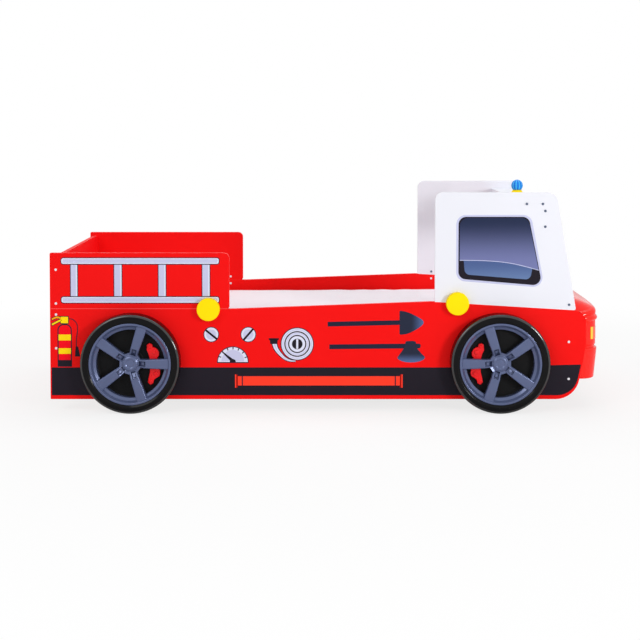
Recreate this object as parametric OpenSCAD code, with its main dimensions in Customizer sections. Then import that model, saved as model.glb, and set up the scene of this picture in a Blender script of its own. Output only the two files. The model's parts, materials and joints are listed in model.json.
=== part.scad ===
// Single bed for a child in the shape of a fire engine, for a mattress of 90 by 200 cm.
// Lacquered boards make the sides, the box, the cab and the ends.
// Moulded parts make the bonnet, the bumper, the wheels and the beacon.
// X runs to the front of the vehicle, Y to its left side and Z up.
// The origin is on the floor under the middle of the whole bed. All sizes are in millimetres.

/* [Mattress] */
// Length of the mattress
mattress_l = 1990; // [1700:10:2090]
// Width of the mattress
mattress_w = 890; // [700:10:1000]
// Thickness of the mattress at its edge
mattress_t = 164; // [100:2:190]
// Height of the crown in the middle of the mattress top
mattress_crown = 5; // [2:1:10]
// Radius of the mattress corners, seen from above
mattress_corner_r = 55; // [30:5:90]
// Radius of the mattress edges, top and bottom
mattress_edge_r = 14; // [10:1:34]
// How far the sides of the mattress draw in between its edges
mattress_waist = 5; // [1:1:8]
// Room between the mattress and the boards at each end
room_l = 10; // [6:1:24]
// Room between the mattress and the side panels on each side
room_w = 15; // [8:1:24]
// Height of the top of the slats above the floor
sleep_h = 200; // [184:2:224]

/* [Side panels] */
// Thickness of every board
board_t = 18; // [15:1:22]
// Gap between the floor and the side panels
ground_gap = 47; // [36:1:60]
// Height of a side panel at its rear
side_h = 359; // [330:1:390]
// Rise of the belt line from the box to the cab
belt_rise = 29; // [10:1:40]
// Fall of the belt line from the cab to the nose
belt_drop = 37; // [20:1:50]
// Distance from the rear boards to the rear edge of the side panels
tail_lip = 15; // [8:1:30]
// Distance from the front board to the front edge of the side panels
nose_lip = 59; // [45:1:80]
// Radius of the upper front corner
nose_r = 52; // [30:2:64]
// Radius of the lower front corner
chin_r = 95; // [60:5:110]
// How far the lower front corner leans back
chin_lean = 40; // [20:2:60]
// Height at which the front edge starts to lean back
chin_h = 262; // [240:2:290]

/* [Box] */
// Length of a box panel
box_l = 709; // [600:1:800]
// Height of a box panel
box_h = 222; // [190:1:250]
// Distance from the top of the box panels down to the top of the rear boards
tailboard_drop = 14; // [8:1:24]
// Distance from the box panel to the start of the rising belt line
rise_set = 20; // [10:1:40]

/* [Cab] */
// Distance from the front edge of a side panel back to the rear edge of the cab
cab_back = 598; // [560:1:620]
// Length of a cab panel along its roof line
cab_roof_l = 477; // [450:1:486]
// Height of a cab panel above the highest point of the belt line
cab_h = 432; // [380:1:460]
// How far the windscreen line leans forward from the roof to the belt line
screen_lean = 81; // [60:1:88]
// Distance from the highest point of the belt line to the cab
peak_set = 13; // [8:1:20]
// Radius of the rear roof corner
cab_rear_r = 30; // [15:1:45]
// Radius of the front roof corner
cab_front_r = 40; // [20:1:60]
// Distance from the top of the cab panels down to the roof board
roof_drop = 36; // [24:1:50]
// Length of the roof board from back to front
roof_l = 101; // [80:1:150]
// Height of the header board under the roof board
header_h = 100; // [70:1:130]
// Distance from the front roof corner back to the header board
header_set = 34; // [26:1:50]
// Height of the top of the front board above the belt line
dash_rise = 42; // [38:1:60]
// Distance from the underside of the side panels up to the front board
dash_lift = 43; // [30:1:60]

/* [Front moulding] */
// How far the moulding stands in front of the side panels
nose_l = 58; // [48:1:76]
// Radius of the moulding's corners, seen from above
mould_r = 78; // [66:1:90]
// Wall of the moulded shells
wall = 4; // [3:0.5:5]
// Height of the bumper's underside above the floor
bumper_z = 125; // [105:1:135]
// Height of the bumper
bumper_h = 123; // [105:1:135]
// Depth of the bumper's ledge at its top
bumper_ledge = 34; // [26:1:40]
// How far the bumper's lower edge draws back
bumper_rake = 12; // [4:1:18]
// Height of the groove between the bumper and the lamp band
groove_h = 12; // [8:1:18]
// Height of the lamp band
lamp_band_h = 94; // [88:1:112]
// Radius of the bead above the lamp band
bead_r = 12; // [8:1:14]
// How far the bead and the bumper stand proud of the lamp band
bead_proud = 7; // [5:1:10]
// Height of the bonnet's front edge above the bead
bonnet_edge = 28; // [20:1:34]
// Height of the crown across the bonnet
bonnet_crown = 22; // [10:1:26]
// Width of a headlamp
headlamp_w = 124; // [100:2:130]
// Height of a headlamp
headlamp_h = 62; // [48:1:72]
// Distance of a headlamp's centre from the moulding's side
headlamp_set = 160; // [152:2:176]
// Gap between the grille and a headlamp
lamp_gap = 26; // [20:1:60]
// Number of bars in the grille
grille_bars = 4; // [3:1:5]
// Angle that a corner lamp spans round the moulding's corner
corner_lamp_a = 34; // [20:1:44]

/* [Wheels] */
// Diameter of a wheel
wheel_d = 391; // [370:1:410]
// How far a wheel stands out from the side panel
wheel_proud = 60; // [50:1:80]
// Width of the tyre's sidewall, seen from the side
sidewall = 34; // [26:1:44]
// Radius of the tyre's shoulder
shoulder_r = 16; // [8:1:20]
// Distance from the rear edge of a side panel to the rear wheel's axis
rear_axle = 322; // [300:1:340]
// Distance from the front edge of a side panel to the front wheel's axis
front_axle = 343.5; // [330:0.5:360]
// Width of the rim's ring, seen from the side
rim_band = 27; // [18:1:34]
// Number of spokes
spoke_n = 5; // [4:1:7]
// Width of a spoke at the hub
spoke_w_in = 33; // [26:1:38]
// Width of a spoke at the ring
spoke_w_out = 43; // [36:1:54]
// Thickness of the spokes
spoke_t = 24; // [14:1:28]
// Bevel along the spokes
spoke_bevel = 3; // [1:0.5:4]
// Diameter of the hub
hub_d = 76; // [68:1:80]
// Distance from the axis to the webs that join the spokes round the hub
web_r = 45.5; // [43:0.5:50]
// Diameter of the hub cap
hub_cap_d = 59; // [48:1:62]
// Side of the square nut pockets
pocket_w = 21; // [14:1:22]
// Thickness of the black disc behind the spokes
backing_t = 14; // [10:1:18]

/* [Joining discs] */
// Diameter of a joining disc
disc_d = 90; // [70:1:100]
// Thickness of a joining disc
disc_t = 25; // [20:1:34]
// Distance from the box panel's front edge back to the rear disc's centre
rear_disc_set = 82; // [70:1:100]
// Distance from the cab's rear edge to the front disc's centre
front_disc_set = 88; // [70:1:110]
// Distance of the disc's screws from its centre along the seam
disc_screw_x = 25; // [15:1:28]
// Distance of the disc's screws above and below the seam
disc_screw_z = 16; // [12:1:20]

/* [Beacon] */
// Diameter of the beacon's ball
ball_d = 50; // [40:1:60]
// Height of the beacon's base
beacon_base_h = 20; // [14:1:28]
// Diameter of the beacon's base
beacon_base_d = 56; // [46:1:70]
// Number of ribs round the ball
ball_ribs = 14; // [8:1:18]

/* [Slats and legs] */
// Number of slats
slat_n = 13; // [9:1:16]
// Width of a slat
slat_w = 70; // [50:1:90]
// Thickness of a slat
slat_t = 18; // [12:1:20]
// Width of the side rails
rail_w = 25; // [18:1:35]
// Height of the side rails
rail_h = 45; // [30:1:60]
// Width of the centre beam
beam_w = 30; // [20:1:45]
// Height of the centre beam
beam_h = 95; // [60:1:110]
// Number of legs under the centre beam
leg_n = 3; // [2:1:5]
// Diameter of the centre legs
leg_d = 40; // [30:1:60]
// Side of the square posts behind the wheels
post_w = 45; // [35:1:60]
// Height of the plastic glides
glide_h = 8; // [4:1:12]

/* [Fasteners] */
// Diameter of the board bolts
bolt_d = 6; // [5:0.5:8]
// Length of the board bolts
bolt_l = 50; // [40:1:60]
// Diameter of the caps on the bolt heads
cap_d = 10; // [9:0.5:14]
// Height of the caps
cap_h = 2.6; // [2:0.2:4]
// Diameter of the wood screws
screw_d = 4.5; // [3.5:0.5:5]
// Distance from a board's edge to the bolt beside a seam
seam_bolt = 22; // [16:1:30]
// Distance from a rear board's free edge to its other bolt
edge_bolt = 52; // [40:1:60]
// Distance from the edges of the roof and header boards to their bolts
roof_bolt = 19; // [14:1:24]
// Distance from the lower edge of the front board to its lowest bolt
dash_bolt = 38; // [30:1:50]

/* [Hidden] */
$fn = 64;

red = [0.90, 0.05, 0.06];
white = [0.95, 0.95, 0.97];
yellow = [1.00, 0.85, 0.02];
black = [0.08, 0.08, 0.09];
slate = [0.31, 0.34, 0.47];
orange = [1.00, 0.48, 0.05];
blue = [0.05, 0.50, 0.90];
pine = [0.86, 0.73, 0.52];
steel = [0.70, 0.71, 0.74];
lens = [0.92, 0.94, 0.96];

// Clearances: round a bolt in its hole, between parts that only rest together,
// between the moulding and the panels, and between a rail's end and a board
hole_gap = 0.3;
rest_gap = 0.3;
fit_gap = 0.5;
end_gap = 0.5;
// Overlap that keeps a cut open past a face
past = 1;
// Radius that breaks a board's edge where no larger one is named
soft_r = 4;

// Widths and lengths
inner_w = mattress_w + 2 * room_w;
half_in = inner_w / 2;
half_w = half_in + board_t;
bed_l = mattress_l + 2 * room_l;
panel_l = tail_lip + bed_l + 2 * board_t + nose_lip;
total_l = panel_l + nose_l;

// Stations along X, from the tail to the front
tail_x = -total_l / 2;
board_x = tail_x + tail_lip;
bed_x0 = board_x + board_t;
bed_x1 = bed_x0 + bed_l;
dash_x = bed_x1 + board_t;
nose_x = tail_x + panel_l;
front_x = total_l / 2;
box_x = tail_x + box_l;
rise_x = box_x + rise_set;
cab_x = nose_x - cab_back;
peak_x = cab_x - peak_set;
roof_x = cab_x + cab_roof_l;
screen_x = roof_x + screen_lean;
header_x = roof_x - header_set;
rear_wheel_x = tail_x + rear_axle;
front_wheel_x = nose_x - front_axle;

// Levels along Z
belt_z = ground_gap + side_h;
peak_z = belt_z + belt_rise;
nose_z = peak_z - belt_drop;
box_top = belt_z + box_h;
rear_board_h = box_h - tailboard_drop;
cab_top = peak_z + cab_h;
roof_z = cab_top - roof_drop - board_t;
dash_top = belt_at(bed_x1) + dash_rise;
dash_z = ground_gap + dash_lift;
slat_z = sleep_h - slat_t;
rail_z = slat_z - rail_h;
beam_z = slat_z - beam_h;

// Height of the belt line, the seam between the lower and upper side panels
function belt_at(x) = lookup(x, [[rise_x, belt_z], [peak_x, peak_z], [nose_x, nose_z]]);

// Outline with rounded corners, from points [x, y, radius]
function unit(v) = v / norm(v);
function corner(a, p, b, r) =
    r <= 0 ? [p] :
    let(
        u = unit(a - p),
        v = unit(b - p),
        half = acos(u * v) / 2,
        centre = p + unit(u + v) * r / sin(half),
        from = p + u * r / tan(half) - centre,
        to = p + v * r / tan(half) - centre,
        start = atan2(from.y, from.x),
        turn = atan2(from.x * to.y - from.y * to.x, from * to),
        steps = max(1, ceil(abs(turn) / 10))
    )
    [for (i = [0:steps]) centre + r * [cos(start + turn * i / steps), sin(start + turn * i / steps)]];
function xy(p) = [p.x, p.y];
function rounded(pts) =
    let(n = len(pts))
    [for (i = [0:n - 1])
        each corner(xy(pts[(i + n - 1) % n]), xy(pts[i]), xy(pts[(i + 1) % n]), pts[i].z)];

// Lays a shape drawn in X and Z up as a board, with its back on the plane Y = y
module upright(y, t) {
    translate([0, y, 0])
        rotate([90, 0, 0])
            linear_extrude(t)
                children();
}

module right_side() {
    children();
}

module left_side() {
    mirror([0, 1, 0])
        children();
}

// Puts a fastener, drawn along +Z out of the panel, on the right outer face
module on_face(x, z) {
    translate([x, -half_w, z])
        rotate([90, 0, 0])
            children();
}

module both_sides() {
    right_side()
        children();
    left_side()
        children();
}

// Places of the bolts, as [x, z]
tail_bolt_x = board_x + board_t / 2;
dash_bolt_x = bed_x1 + board_t / 2;
header_bolt_x = header_x - board_t / 2;
lower_tail_bolts = [
    [tail_bolt_x, belt_z - seam_bolt],
    [tail_bolt_x, belt_z - rear_board_h + edge_bolt]
];
upper_tail_bolts = [
    [tail_bolt_x, belt_z + seam_bolt],
    [tail_bolt_x, belt_z + rear_board_h - edge_bolt]
];
dash_top_bolt = [dash_bolt_x, dash_top - seam_bolt];
dash_low_bolt = [dash_bolt_x, dash_z + dash_bolt];
dash_mid_bolt = (dash_top_bolt + dash_low_bolt) / 2;
lower_bolts = concat(lower_tail_bolts, [dash_low_bolt, dash_mid_bolt]);
cab_bolts = [
    dash_top_bolt,
    [header_x - roof_l + roof_bolt, roof_z + board_t / 2],
    [header_x - roof_bolt, roof_z + board_t / 2],
    [header_bolt_x, roof_z - roof_bolt],
    [header_bolt_x, roof_z - header_h + roof_bolt]
];

// Places of the joining discs and of their screws, as [x, z]
disc_xs = [box_x - rear_disc_set, cab_x + front_disc_set];
disc_spots = [for (x = disc_xs) [x, belt_at(x)]];
function disc_screws_at(side) = [
    for (d = disc_spots, s = [-1, 1])
        [d.x + s * disc_screw_x, d.y + side * disc_screw_z]
];

// Places of the three bolts that hold a wheel, from the wheel's axis, inside the rim's opening
wheel_bolt_share = 0.72;
wheel_bolt_r = (wheel_d / 2 - sidewall - rim_band) * wheel_bolt_share;
wheel_bolt_turn = 128;
wheel_bolt_spots = [for (i = [-1:1])
    wheel_bolt_r * [sin(wheel_bolt_turn * i), cos(wheel_bolt_turn * i)]];
wheel_xs = [rear_wheel_x, front_wheel_x];
wheel_z = wheel_d / 2;
wheel_bolt_d = 8;
wheel_bolt_head_d = 16;
wheel_bolt_head_h = 5;

module holes(spots, d) {
    for (p = spots)
        translate(p)
            circle(d = d);
}

// Side panels

// Outline of a side panel, grown by g where other pieces are cut to fit round it
function side_outline(g) = rounded([
    [tail_x - g, ground_gap - g, soft_r],
    [tail_x - g, belt_z + g, 0],
    [rise_x, belt_z + g, 0],
    [peak_x, peak_z + g, 0],
    [nose_x + g, nose_z + g, nose_r + g],
    [nose_x + g, chin_h, nose_r + g],
    [nose_x + g - chin_lean, ground_gap - g, chin_r + g]
]);

wheel_hole_spots = [for (x = wheel_xs, p = wheel_bolt_spots) [x + p.x, wheel_z + p.y]];

module side_panel() {
    color(red)
        difference() {
            upright(-half_in, board_t)
                difference() {
                    polygon(side_outline(0));
                    holes(lower_bolts, bolt_d + 2 * hole_gap);
                    holes(disc_screws_at(-1), screw_d + 2 * hole_gap);
                    holes(wheel_hole_spots, wheel_bolt_d + 2 * hole_gap);
                }
            upright(-half_in + past, wheel_bolt_head_h + past + hole_gap)
                holes(wheel_hole_spots, wheel_bolt_head_d + 2 * hole_gap);
        }
}

module side_panel_right() {
    right_side()
        side_panel();
}

module side_panel_left() {
    left_side()
        side_panel();
}

box_top_r = 22;
box_foot_r = 10;
box_outline = rounded([
    [tail_x, belt_z, 0],
    [tail_x, box_top, soft_r],
    [box_x, box_top, box_top_r],
    [box_x, belt_z, box_foot_r]
]);

module box_panel() {
    color(red)
        upright(-half_in, board_t)
            difference() {
                polygon(box_outline);
                holes(upper_tail_bolts, bolt_d + 2 * hole_gap);
                holes([disc_screws_at(1)[0], disc_screws_at(1)[1]], screw_d + 2 * hole_gap);
            }
}

module box_panel_right() {
    right_side()
        box_panel();
}

module box_panel_left() {
    left_side()
        box_panel();
}

cab_outline = rounded([
    [cab_x, belt_at(cab_x), 0],
    [cab_x, cab_top, cab_rear_r],
    [roof_x, cab_top, cab_front_r],
    [screen_x, belt_at(screen_x), 2 * soft_r]
]);

module cab_panel() {
    color(white)
        upright(-half_in, board_t)
            difference() {
                polygon(cab_outline);
                holes(cab_bolts, bolt_d + 2 * hole_gap);
                holes([disc_screws_at(1)[2], disc_screws_at(1)[3]], screw_d + 2 * hole_gap);
            }
}

module cab_panel_right() {
    right_side()
        cab_panel();
}

module cab_panel_left() {
    left_side()
        cab_panel();
}

// Cross boards

// Blind holes for the board bolts in both ends of a cross board
module bolt_sockets(spots) {
    both_sides()
        for (p = spots)
            on_face(p.x, p.y)
                translate([0, 0, -bolt_l - past])
                    cylinder(d = bolt_d + 2 * hole_gap, h = bolt_l);
}

// Board across the bed, from corner [x0, z0] to corner [x1, z1]
module cross_board(x0, z0, x1, z1, spots) {
    difference() {
        translate([x0, -half_in, z0])
            cube([x1 - x0, inner_w, z1 - z0]);
        bolt_sockets(spots);
    }
}

module rear_board_lower() {
    color(red)
        cross_board(board_x, belt_z - rear_board_h, bed_x0, belt_z, lower_tail_bolts);
}

module rear_board_upper() {
    color(red)
        cross_board(board_x, belt_z, bed_x0, belt_z + rear_board_h, upper_tail_bolts);
}

module front_board() {
    color(red)
        cross_board(bed_x1, dash_z, dash_x, dash_top, [dash_top_bolt, dash_mid_bolt, dash_low_bolt]);
}

module header_board() {
    color(white)
        cross_board(
            header_x - board_t, roof_z - header_h, header_x, roof_z,
            [cab_bolts[3], cab_bolts[4]]
        );
}

module roof_board() {
    color(white)
        cross_board(header_x - roof_l, roof_z, header_x, roof_z + board_t, [cab_bolts[1], cab_bolts[2]]);
}

// Front moulding

bumper_top = bumper_z + bumper_h;
lamp_z0 = bumper_top + groove_h;
lamp_z1 = lamp_z0 + lamp_band_h;
bead_z = lamp_z1 + bead_r;
edge_z = bead_z + bonnet_edge;
lamp_x = front_x - bead_proud;
lamp_mid_z = (lamp_z0 + lamp_z1) / 2;
headlamp_y = half_w - headlamp_set;
grille_w = 2 * (headlamp_y - headlamp_w / 2 - lamp_gap);

// Stations round the moulding in plan, each [point, outward normal, back end of the bonnet line]
corner_steps = 8;
front_steps = 10;
flat_y = half_w - mould_r;
bonnet_end_share = 0.9;
bonnet_end_y = bonnet_end_share * flat_y;
fan = (flat_y - bonnet_end_y) / (corner_steps + 2);
plan_side = [for (i = [0:1])
    [[dash_x + (front_x - mould_r - dash_x) * i / 2, -half_w], [0, -1], -flat_y + fan * i]];
plan_corner = [for (i = [0:corner_steps])
    let(a = -90 + 90 * i / corner_steps)
    [
        [front_x - mould_r, -flat_y] + mould_r * [cos(a), sin(a)],
        [cos(a), sin(a)],
        -flat_y + fan * (i + 2)
    ]];
plan_front = [for (i = [1:front_steps / 2])
    let(t = 1 - 2 * i / front_steps)
    [[front_x, -flat_y * t], [1, 0], -bonnet_end_y * t]];
plan_half = concat(plan_side, plan_corner, plan_front);
function flip(s) = [[s[0].x, -s[0].y], [s[1].x, -s[1].y], -s[2]];
plan = concat(plan_half, [for (i = [len(plan_half) - 2:-1:0]) flip(plan_half[i])]);

// Section of the bonnet shell. The bead and the rounded edge above it are points [inset, height],
// and the top is given by shares of the way back to the front board.
bead_a = asin((bead_r - bead_proud) / bead_r);
bead_steps = 6;
edge_round = bonnet_edge - bead_r;
bead_out = concat(
    [[bead_proud, lamp_z1]],
    [for (i = [0:bead_steps])
        let(a = -90 + bead_a + (180 - 2 * bead_a) * i / bead_steps)
        [bead_r - bead_r * cos(a), bead_z + bead_r * sin(a)]]
);
edge_out = [for (a = [0, 30, 60, 90])
    [bead_proud - 1 + edge_round * (1 - cos(a)), edge_z - edge_round * (1 - sin(a))]];
top_shares = [0.25, 0.5, 0.75, 1];
bonnet_bulge = 1.6;

// Points inside the bead lie on a plain wall, drawn down so that none meets the edge above
bead_fill = 0.8;
function behind_bead(p) = [bead_proud + wall, lamp_z1 + bead_fill * (p.y - lamp_z1)];
// The crown runs flat across the bonnet and falls off near its sides
crown_power = 6;
function crown_at(y) = bonnet_crown * (1 - pow(abs(y) / half_w, crown_power));
function rim_point(s, p, raised) = [
    s[0].x - s[1].x * p.x,
    s[0].y - s[1].y * p.x,
    p.y + (raised ? crown_at(s[0].y) : 0)
];
function top_point(s, share, sink) =
    let(
        a = rim_point(s, edge_out[len(edge_out) - 1], true),
        b = [dash_x, s[2], dash_top - bonnet_crown + crown_at(s[2])],
        rise = 1 - pow(1 - share, bonnet_bulge)
    )
    [a.x + (b.x - a.x) * share, a.y + (b.y - a.y) * share, a.z + (b.z - a.z) * rise - sink];
function bonnet_out(s) = concat(
    [for (p = bead_out) rim_point(s, p, false)],
    [for (p = edge_out) rim_point(s, p, true)],
    [for (t = top_shares) top_point(s, t, 0)]
);
function bonnet_in(s) = concat(
    [for (p = bead_out) rim_point(s, behind_bead(p), false)],
    [for (p = edge_out) rim_point(s, p + [wall, -wall], true)],
    [for (t = top_shares) top_point(s, t, wall)]
);

// Skin of a shell between an outer and an inner line of as many points, carried through all stations
module shell_through(outs, ins) {
    n = len(outs[0]);
    m = len(outs);
    function at(j, i) = j * 2 * n + i;
    polyhedron(
        points = [for (j = [0:m - 1]) each concat(outs[j], [for (i = [n - 1:-1:0]) ins[j][i]])],
        faces = concat(
            [for (j = [0:m - 2], i = [0:2 * n - 1])
                let(k = (i + 1) % (2 * n))
                each [
                    [at(j, i), at(j + 1, i), at(j, k)],
                    [at(j, k), at(j + 1, i), at(j + 1, k)]
                ]],
            [for (i = [0:n - 2])
                each [
                    [at(0, i), at(0, i + 1), at(0, 2 * n - 1 - i)],
                    [at(0, i + 1), at(0, 2 * n - 2 - i), at(0, 2 * n - 1 - i)],
                    [at(m - 1, i + 1), at(m - 1, i), at(m - 1, 2 * n - 1 - i)],
                    [at(m - 1, 2 * n - 2 - i), at(m - 1, i + 1), at(m - 1, 2 * n - 1 - i)]
                ]]
        )
    );
}

// Room that the side panels take, grown by the fit clearance
module panel_room() {
    both_sides()
        upright(-half_in + fit_gap, board_t + 2 * fit_gap)
            polygon(side_outline(fit_gap));
}

// Rounded window through the lamp band
module lamp_shape(w, h, r) {
    polygon(rounded([[-w / 2, -h / 2, r], [w / 2, -h / 2, r], [w / 2, h / 2, r], [-w / 2, h / 2, r]]));
}

module through_band(y, x0, x1) {
    translate([x0, y, lamp_mid_z])
        rotate([90, 0, 90])
            linear_extrude(x1 - x0)
                children();
}

// Lamps and grille stand a little proud of the band and have a flange behind it
grille_h = headlamp_h;
lamp_r = 14;
lamp_fit = 1;
lamp_flange = 6;
lamp_proud = 2;
lamp_rim = 6;
window_x = lamp_x - 3 * wall;
corner_lamp_mid = 38;
corner_lamp_h = headlamp_h * 0.8;
corner_fit_a = 1;
corner_flange_a = 6;

// Slice of a ring round the moulding's right corner, between two insets from its face
module corner_slice(in0, in1, h, a) {
    translate([front_x - mould_r, -flat_y, lamp_mid_z - h / 2])
        rotate([0, 0, -corner_lamp_mid - a / 2])
            rotate_extrude(angle = a)
                translate([mould_r - in0, 0])
                    square([in0 - in1, h]);
}

module bonnet() {
    color(red)
        difference() {
            shell_through([for (s = plan) bonnet_out(s)], [for (s = plan) bonnet_in(s)]);
            panel_room();
        }
}

// Carries a section round the front: X is the inset from the face, as a negative number, and Y the height
module moulded_band() {
    translate([front_x, flat_y, 0])
        rotate([90, 0, 0])
            linear_extrude(2 * flat_y)
                children();
    both_sides() {
        translate([front_x - mould_r, -flat_y, 0])
            rotate([0, 0, -90])
                rotate_extrude(angle = 90)
                    translate([mould_r, 0])
                        children();
        translate([dash_x, -half_w, 0])
            rotate([90, 0, 90])
                linear_extrude(front_x - mould_r - dash_x)
                    mirror([1, 0])
                        children();
    }
}

lamp_section = rounded([
    [-bead_proud, lamp_z1, 0],
    [-bead_proud, lamp_z0, 3],
    [-bead_proud - wall, lamp_z0 - wall, 2],
    [-bead_proud - wall, bumper_top, 0],
    [-bumper_ledge, bumper_top, 0],
    [-bumper_ledge, bumper_top + wall, 0],
    [-bead_proud - 2 * wall, bumper_top + wall, 0],
    [-bead_proud - 2 * wall, lamp_z0, 0],
    [-bead_proud - wall, lamp_z0 + wall, 0],
    [-bead_proud - wall, lamp_z1, 0]
]);

module lamp_band() {
    color(red)
        difference() {
            moulded_band()
                polygon(lamp_section);
            panel_room();
            both_sides()
                through_band(-headlamp_y, window_x, front_x + past)
                    lamp_shape(headlamp_w, headlamp_h, lamp_r);
            through_band(0, window_x, front_x + past)
                lamp_shape(grille_w, grille_h, lamp_r);
            both_sides()
                corner_slice(bead_proud + 2 * wall, 0, corner_lamp_h, corner_lamp_a);
        }
}

bumper_in = 1;
bumper_top_r = 6;
bumper_low_r = 4;
bumper_section = rounded([
    [-bumper_ledge, bumper_top, 0],
    [-bumper_in, bumper_top, bumper_top_r],
    [-bumper_in - bumper_rake, bumper_z, bumper_low_r],
    [-bumper_ledge, bumper_z, 0],
    [-bumper_ledge, bumper_z + wall, 0],
    [-bumper_in - bumper_rake - wall, bumper_z + wall, bumper_low_r / 2],
    [-bumper_in - wall, bumper_top - wall, bumper_top_r / 2],
    [-bumper_ledge, bumper_top - wall, 0]
]);

module bumper() {
    color(red)
        difference() {
            moulded_band()
                polygon(bumper_section);
            panel_room();
        }
}

// Plate of w by h in a window of the band: a flange behind it, a body through it, and a recess to floor_x
module window_plate(y, w, h, floor_x) {
    back = lamp_x - wall;
    difference() {
        union() {
            through_band(y, back - wall, back)
                lamp_shape(w + 2 * lamp_flange, h + 2 * lamp_flange, lamp_r + lamp_flange);
            through_band(y, back, lamp_x + lamp_proud)
                lamp_shape(w - lamp_fit, h - lamp_fit, lamp_r);
        }
        through_band(y, floor_x, front_x)
            lamp_shape(w - 2 * lamp_rim, h - 2 * lamp_rim, lamp_r / 2);
    }
}

grille_bar_h = 7;
grille_bar_r = 3;
grille_floor = lamp_x - 1.5 * wall;

module grille() {
    bar_t = lamp_x - grille_floor;
    color(black) {
        window_plate(0, grille_w, grille_h, grille_floor);
        for (i = [1:grille_bars])
            translate([grille_floor, 0, lamp_mid_z + grille_h * (i / (grille_bars + 1) - 0.5)])
                rotate([90, 0, 0])
                    linear_extrude(grille_w - 2 * lamp_rim, center = true)
                        polygon(rounded([
                            [0, -grille_bar_h / 2, 0],
                            [bar_t, -grille_bar_h / 2, grille_bar_r],
                            [bar_t, grille_bar_h / 2, grille_bar_r],
                            [0, grille_bar_h / 2, 0]
                        ]));
    }
}

// A headlamp has two round reflectors side by side, each with a groove near its edge
lens_floor = lamp_x - 1;
reflector_y = headlamp_w * 0.22;
reflector_r = headlamp_h * 0.36;
reflector_t = 4;
groove_r = 2;

module headlamp() {
    color(lens) {
        window_plate(-headlamp_y, headlamp_w, headlamp_h, lens_floor);
        for (s = [-1, 1])
            translate([lens_floor, -headlamp_y + s * reflector_y, lamp_mid_z])
                rotate([0, 90, 0])
                    rotate_extrude()
                        difference() {
                            square([reflector_r, reflector_t]);
                            translate([reflector_r - 3 * groove_r, reflector_t])
                                circle(r = groove_r);
                        }
    }
}

module headlamp_right() {
    right_side()
        headlamp();
}

module headlamp_left() {
    left_side()
        headlamp();
}

module corner_lamp() {
    back = bead_proud + wall;
    color(orange) {
        corner_slice(back + wall, back, corner_lamp_h + lamp_flange, corner_lamp_a + corner_flange_a);
        corner_slice(
            back + wall / 2, bead_proud - lamp_proud,
            corner_lamp_h - lamp_fit, corner_lamp_a - corner_fit_a
        );
    }
}

module corner_lamp_right() {
    right_side()
        corner_lamp();
}

module corner_lamp_left() {
    left_side()
        corner_lamp();
}

// Beacon

beacon_x = header_x - roof_l / 2;
beacon_z = roof_z + board_t;
ball_r = ball_d / 2;
ball_sink_share = 0.76;
ball_sink = ball_r * ball_sink_share;
ball_cut_r = sqrt(pow(ball_r, 2) - pow(ball_sink, 2));
rib_proud = 1.4;
rib_stop_r = 5;
base_foot_h = beacon_base_h * 0.3;

module beacon_base() {
    color(yellow)
        translate([beacon_x, 0, beacon_z])
            rotate_extrude()
                polygon(rounded([
                    [0, 0, 0],
                    [beacon_base_d / 2, 0, 1],
                    [beacon_base_d / 2, base_foot_h, 3],
                    [ball_cut_r + 1, beacon_base_h, 1],
                    [0, beacon_base_h, 0]
                ]));
}

// Ball, cut flat where it sits on its base, with grooves between its ribs up to a plain crown
module beacon_ball() {
    color(blue)
        translate([beacon_x, 0, beacon_z + beacon_base_h + ball_sink])
            difference() {
                rotate_extrude()
                    intersection() {
                        circle(r = ball_r);
                        translate([0, -ball_sink])
                            square([ball_r, ball_d]);
                    }
                for (i = [0:ball_ribs - 1])
                    rotate([0, 0, 360 * i / ball_ribs])
                        rotate_extrude(angle = 180 / ball_ribs)
                            difference() {
                                translate([rib_stop_r, -ball_sink - past])
                                    square([ball_r, ball_d]);
                                circle(r = ball_r - rib_proud);
                            }
            }
}

// Joining discs and fasteners

disc_edge_r = 3;
disc_bite = disc_t * 0.6;
disc_screw_l = board_t + disc_bite;

module joining_discs() {
    color(yellow)
        both_sides()
            for (d = disc_spots)
                difference() {
                    on_face(d.x, d.y)
                        rotate_extrude() {
                            square([disc_d / 2, disc_t - disc_edge_r]);
                            square([disc_d / 2 - disc_edge_r, disc_t]);
                            translate([disc_d / 2 - disc_edge_r, disc_t - disc_edge_r])
                                circle(r = disc_edge_r);
                        }
                    for (s = [-1, 1], t = [-1, 1])
                        on_face(d.x + s * disc_screw_x, d.y + t * disc_screw_z)
                            translate([0, 0, -past])
                                cylinder(d = screw_d + 2 * hole_gap, h = disc_bite + 2 * past);
                }
}

all_disc_screws = concat(disc_screws_at(-1), disc_screws_at(1));
head_h = 1.4;
bolt_head_d = cap_d - 2;
disc_head_d = cap_d - 3;
cap_edge_r = 1;

module disc_screws() {
    color(steel)
        both_sides()
            for (p = all_disc_screws)
                on_face(p.x, p.y) {
                    translate([0, 0, -board_t])
                        cylinder(d = screw_d, h = disc_screw_l);
                    translate([0, 0, -board_t - head_h])
                        cylinder(d = disc_head_d, h = head_h);
                }
}

all_bolts = concat(lower_bolts, upper_tail_bolts, cab_bolts);

module board_bolts() {
    color(steel)
        both_sides()
            for (p = all_bolts)
                on_face(p.x, p.y) {
                    translate([0, 0, -bolt_l])
                        cylinder(d = bolt_d, h = bolt_l);
                    cylinder(d = bolt_head_d, h = head_h);
                }
}

// Snap cap over a screw head of diameter d
module snap_cap(d) {
    difference() {
        rotate_extrude()
            polygon(rounded([
                [0, 0, 0], [cap_d / 2, 0, 0], [cap_d / 2, cap_h, cap_edge_r], [0, cap_h, 0]
            ]));
        translate([0, 0, -past])
            cylinder(d = d + 2 * hole_gap, h = head_h + hole_gap + past);
    }
}

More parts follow.
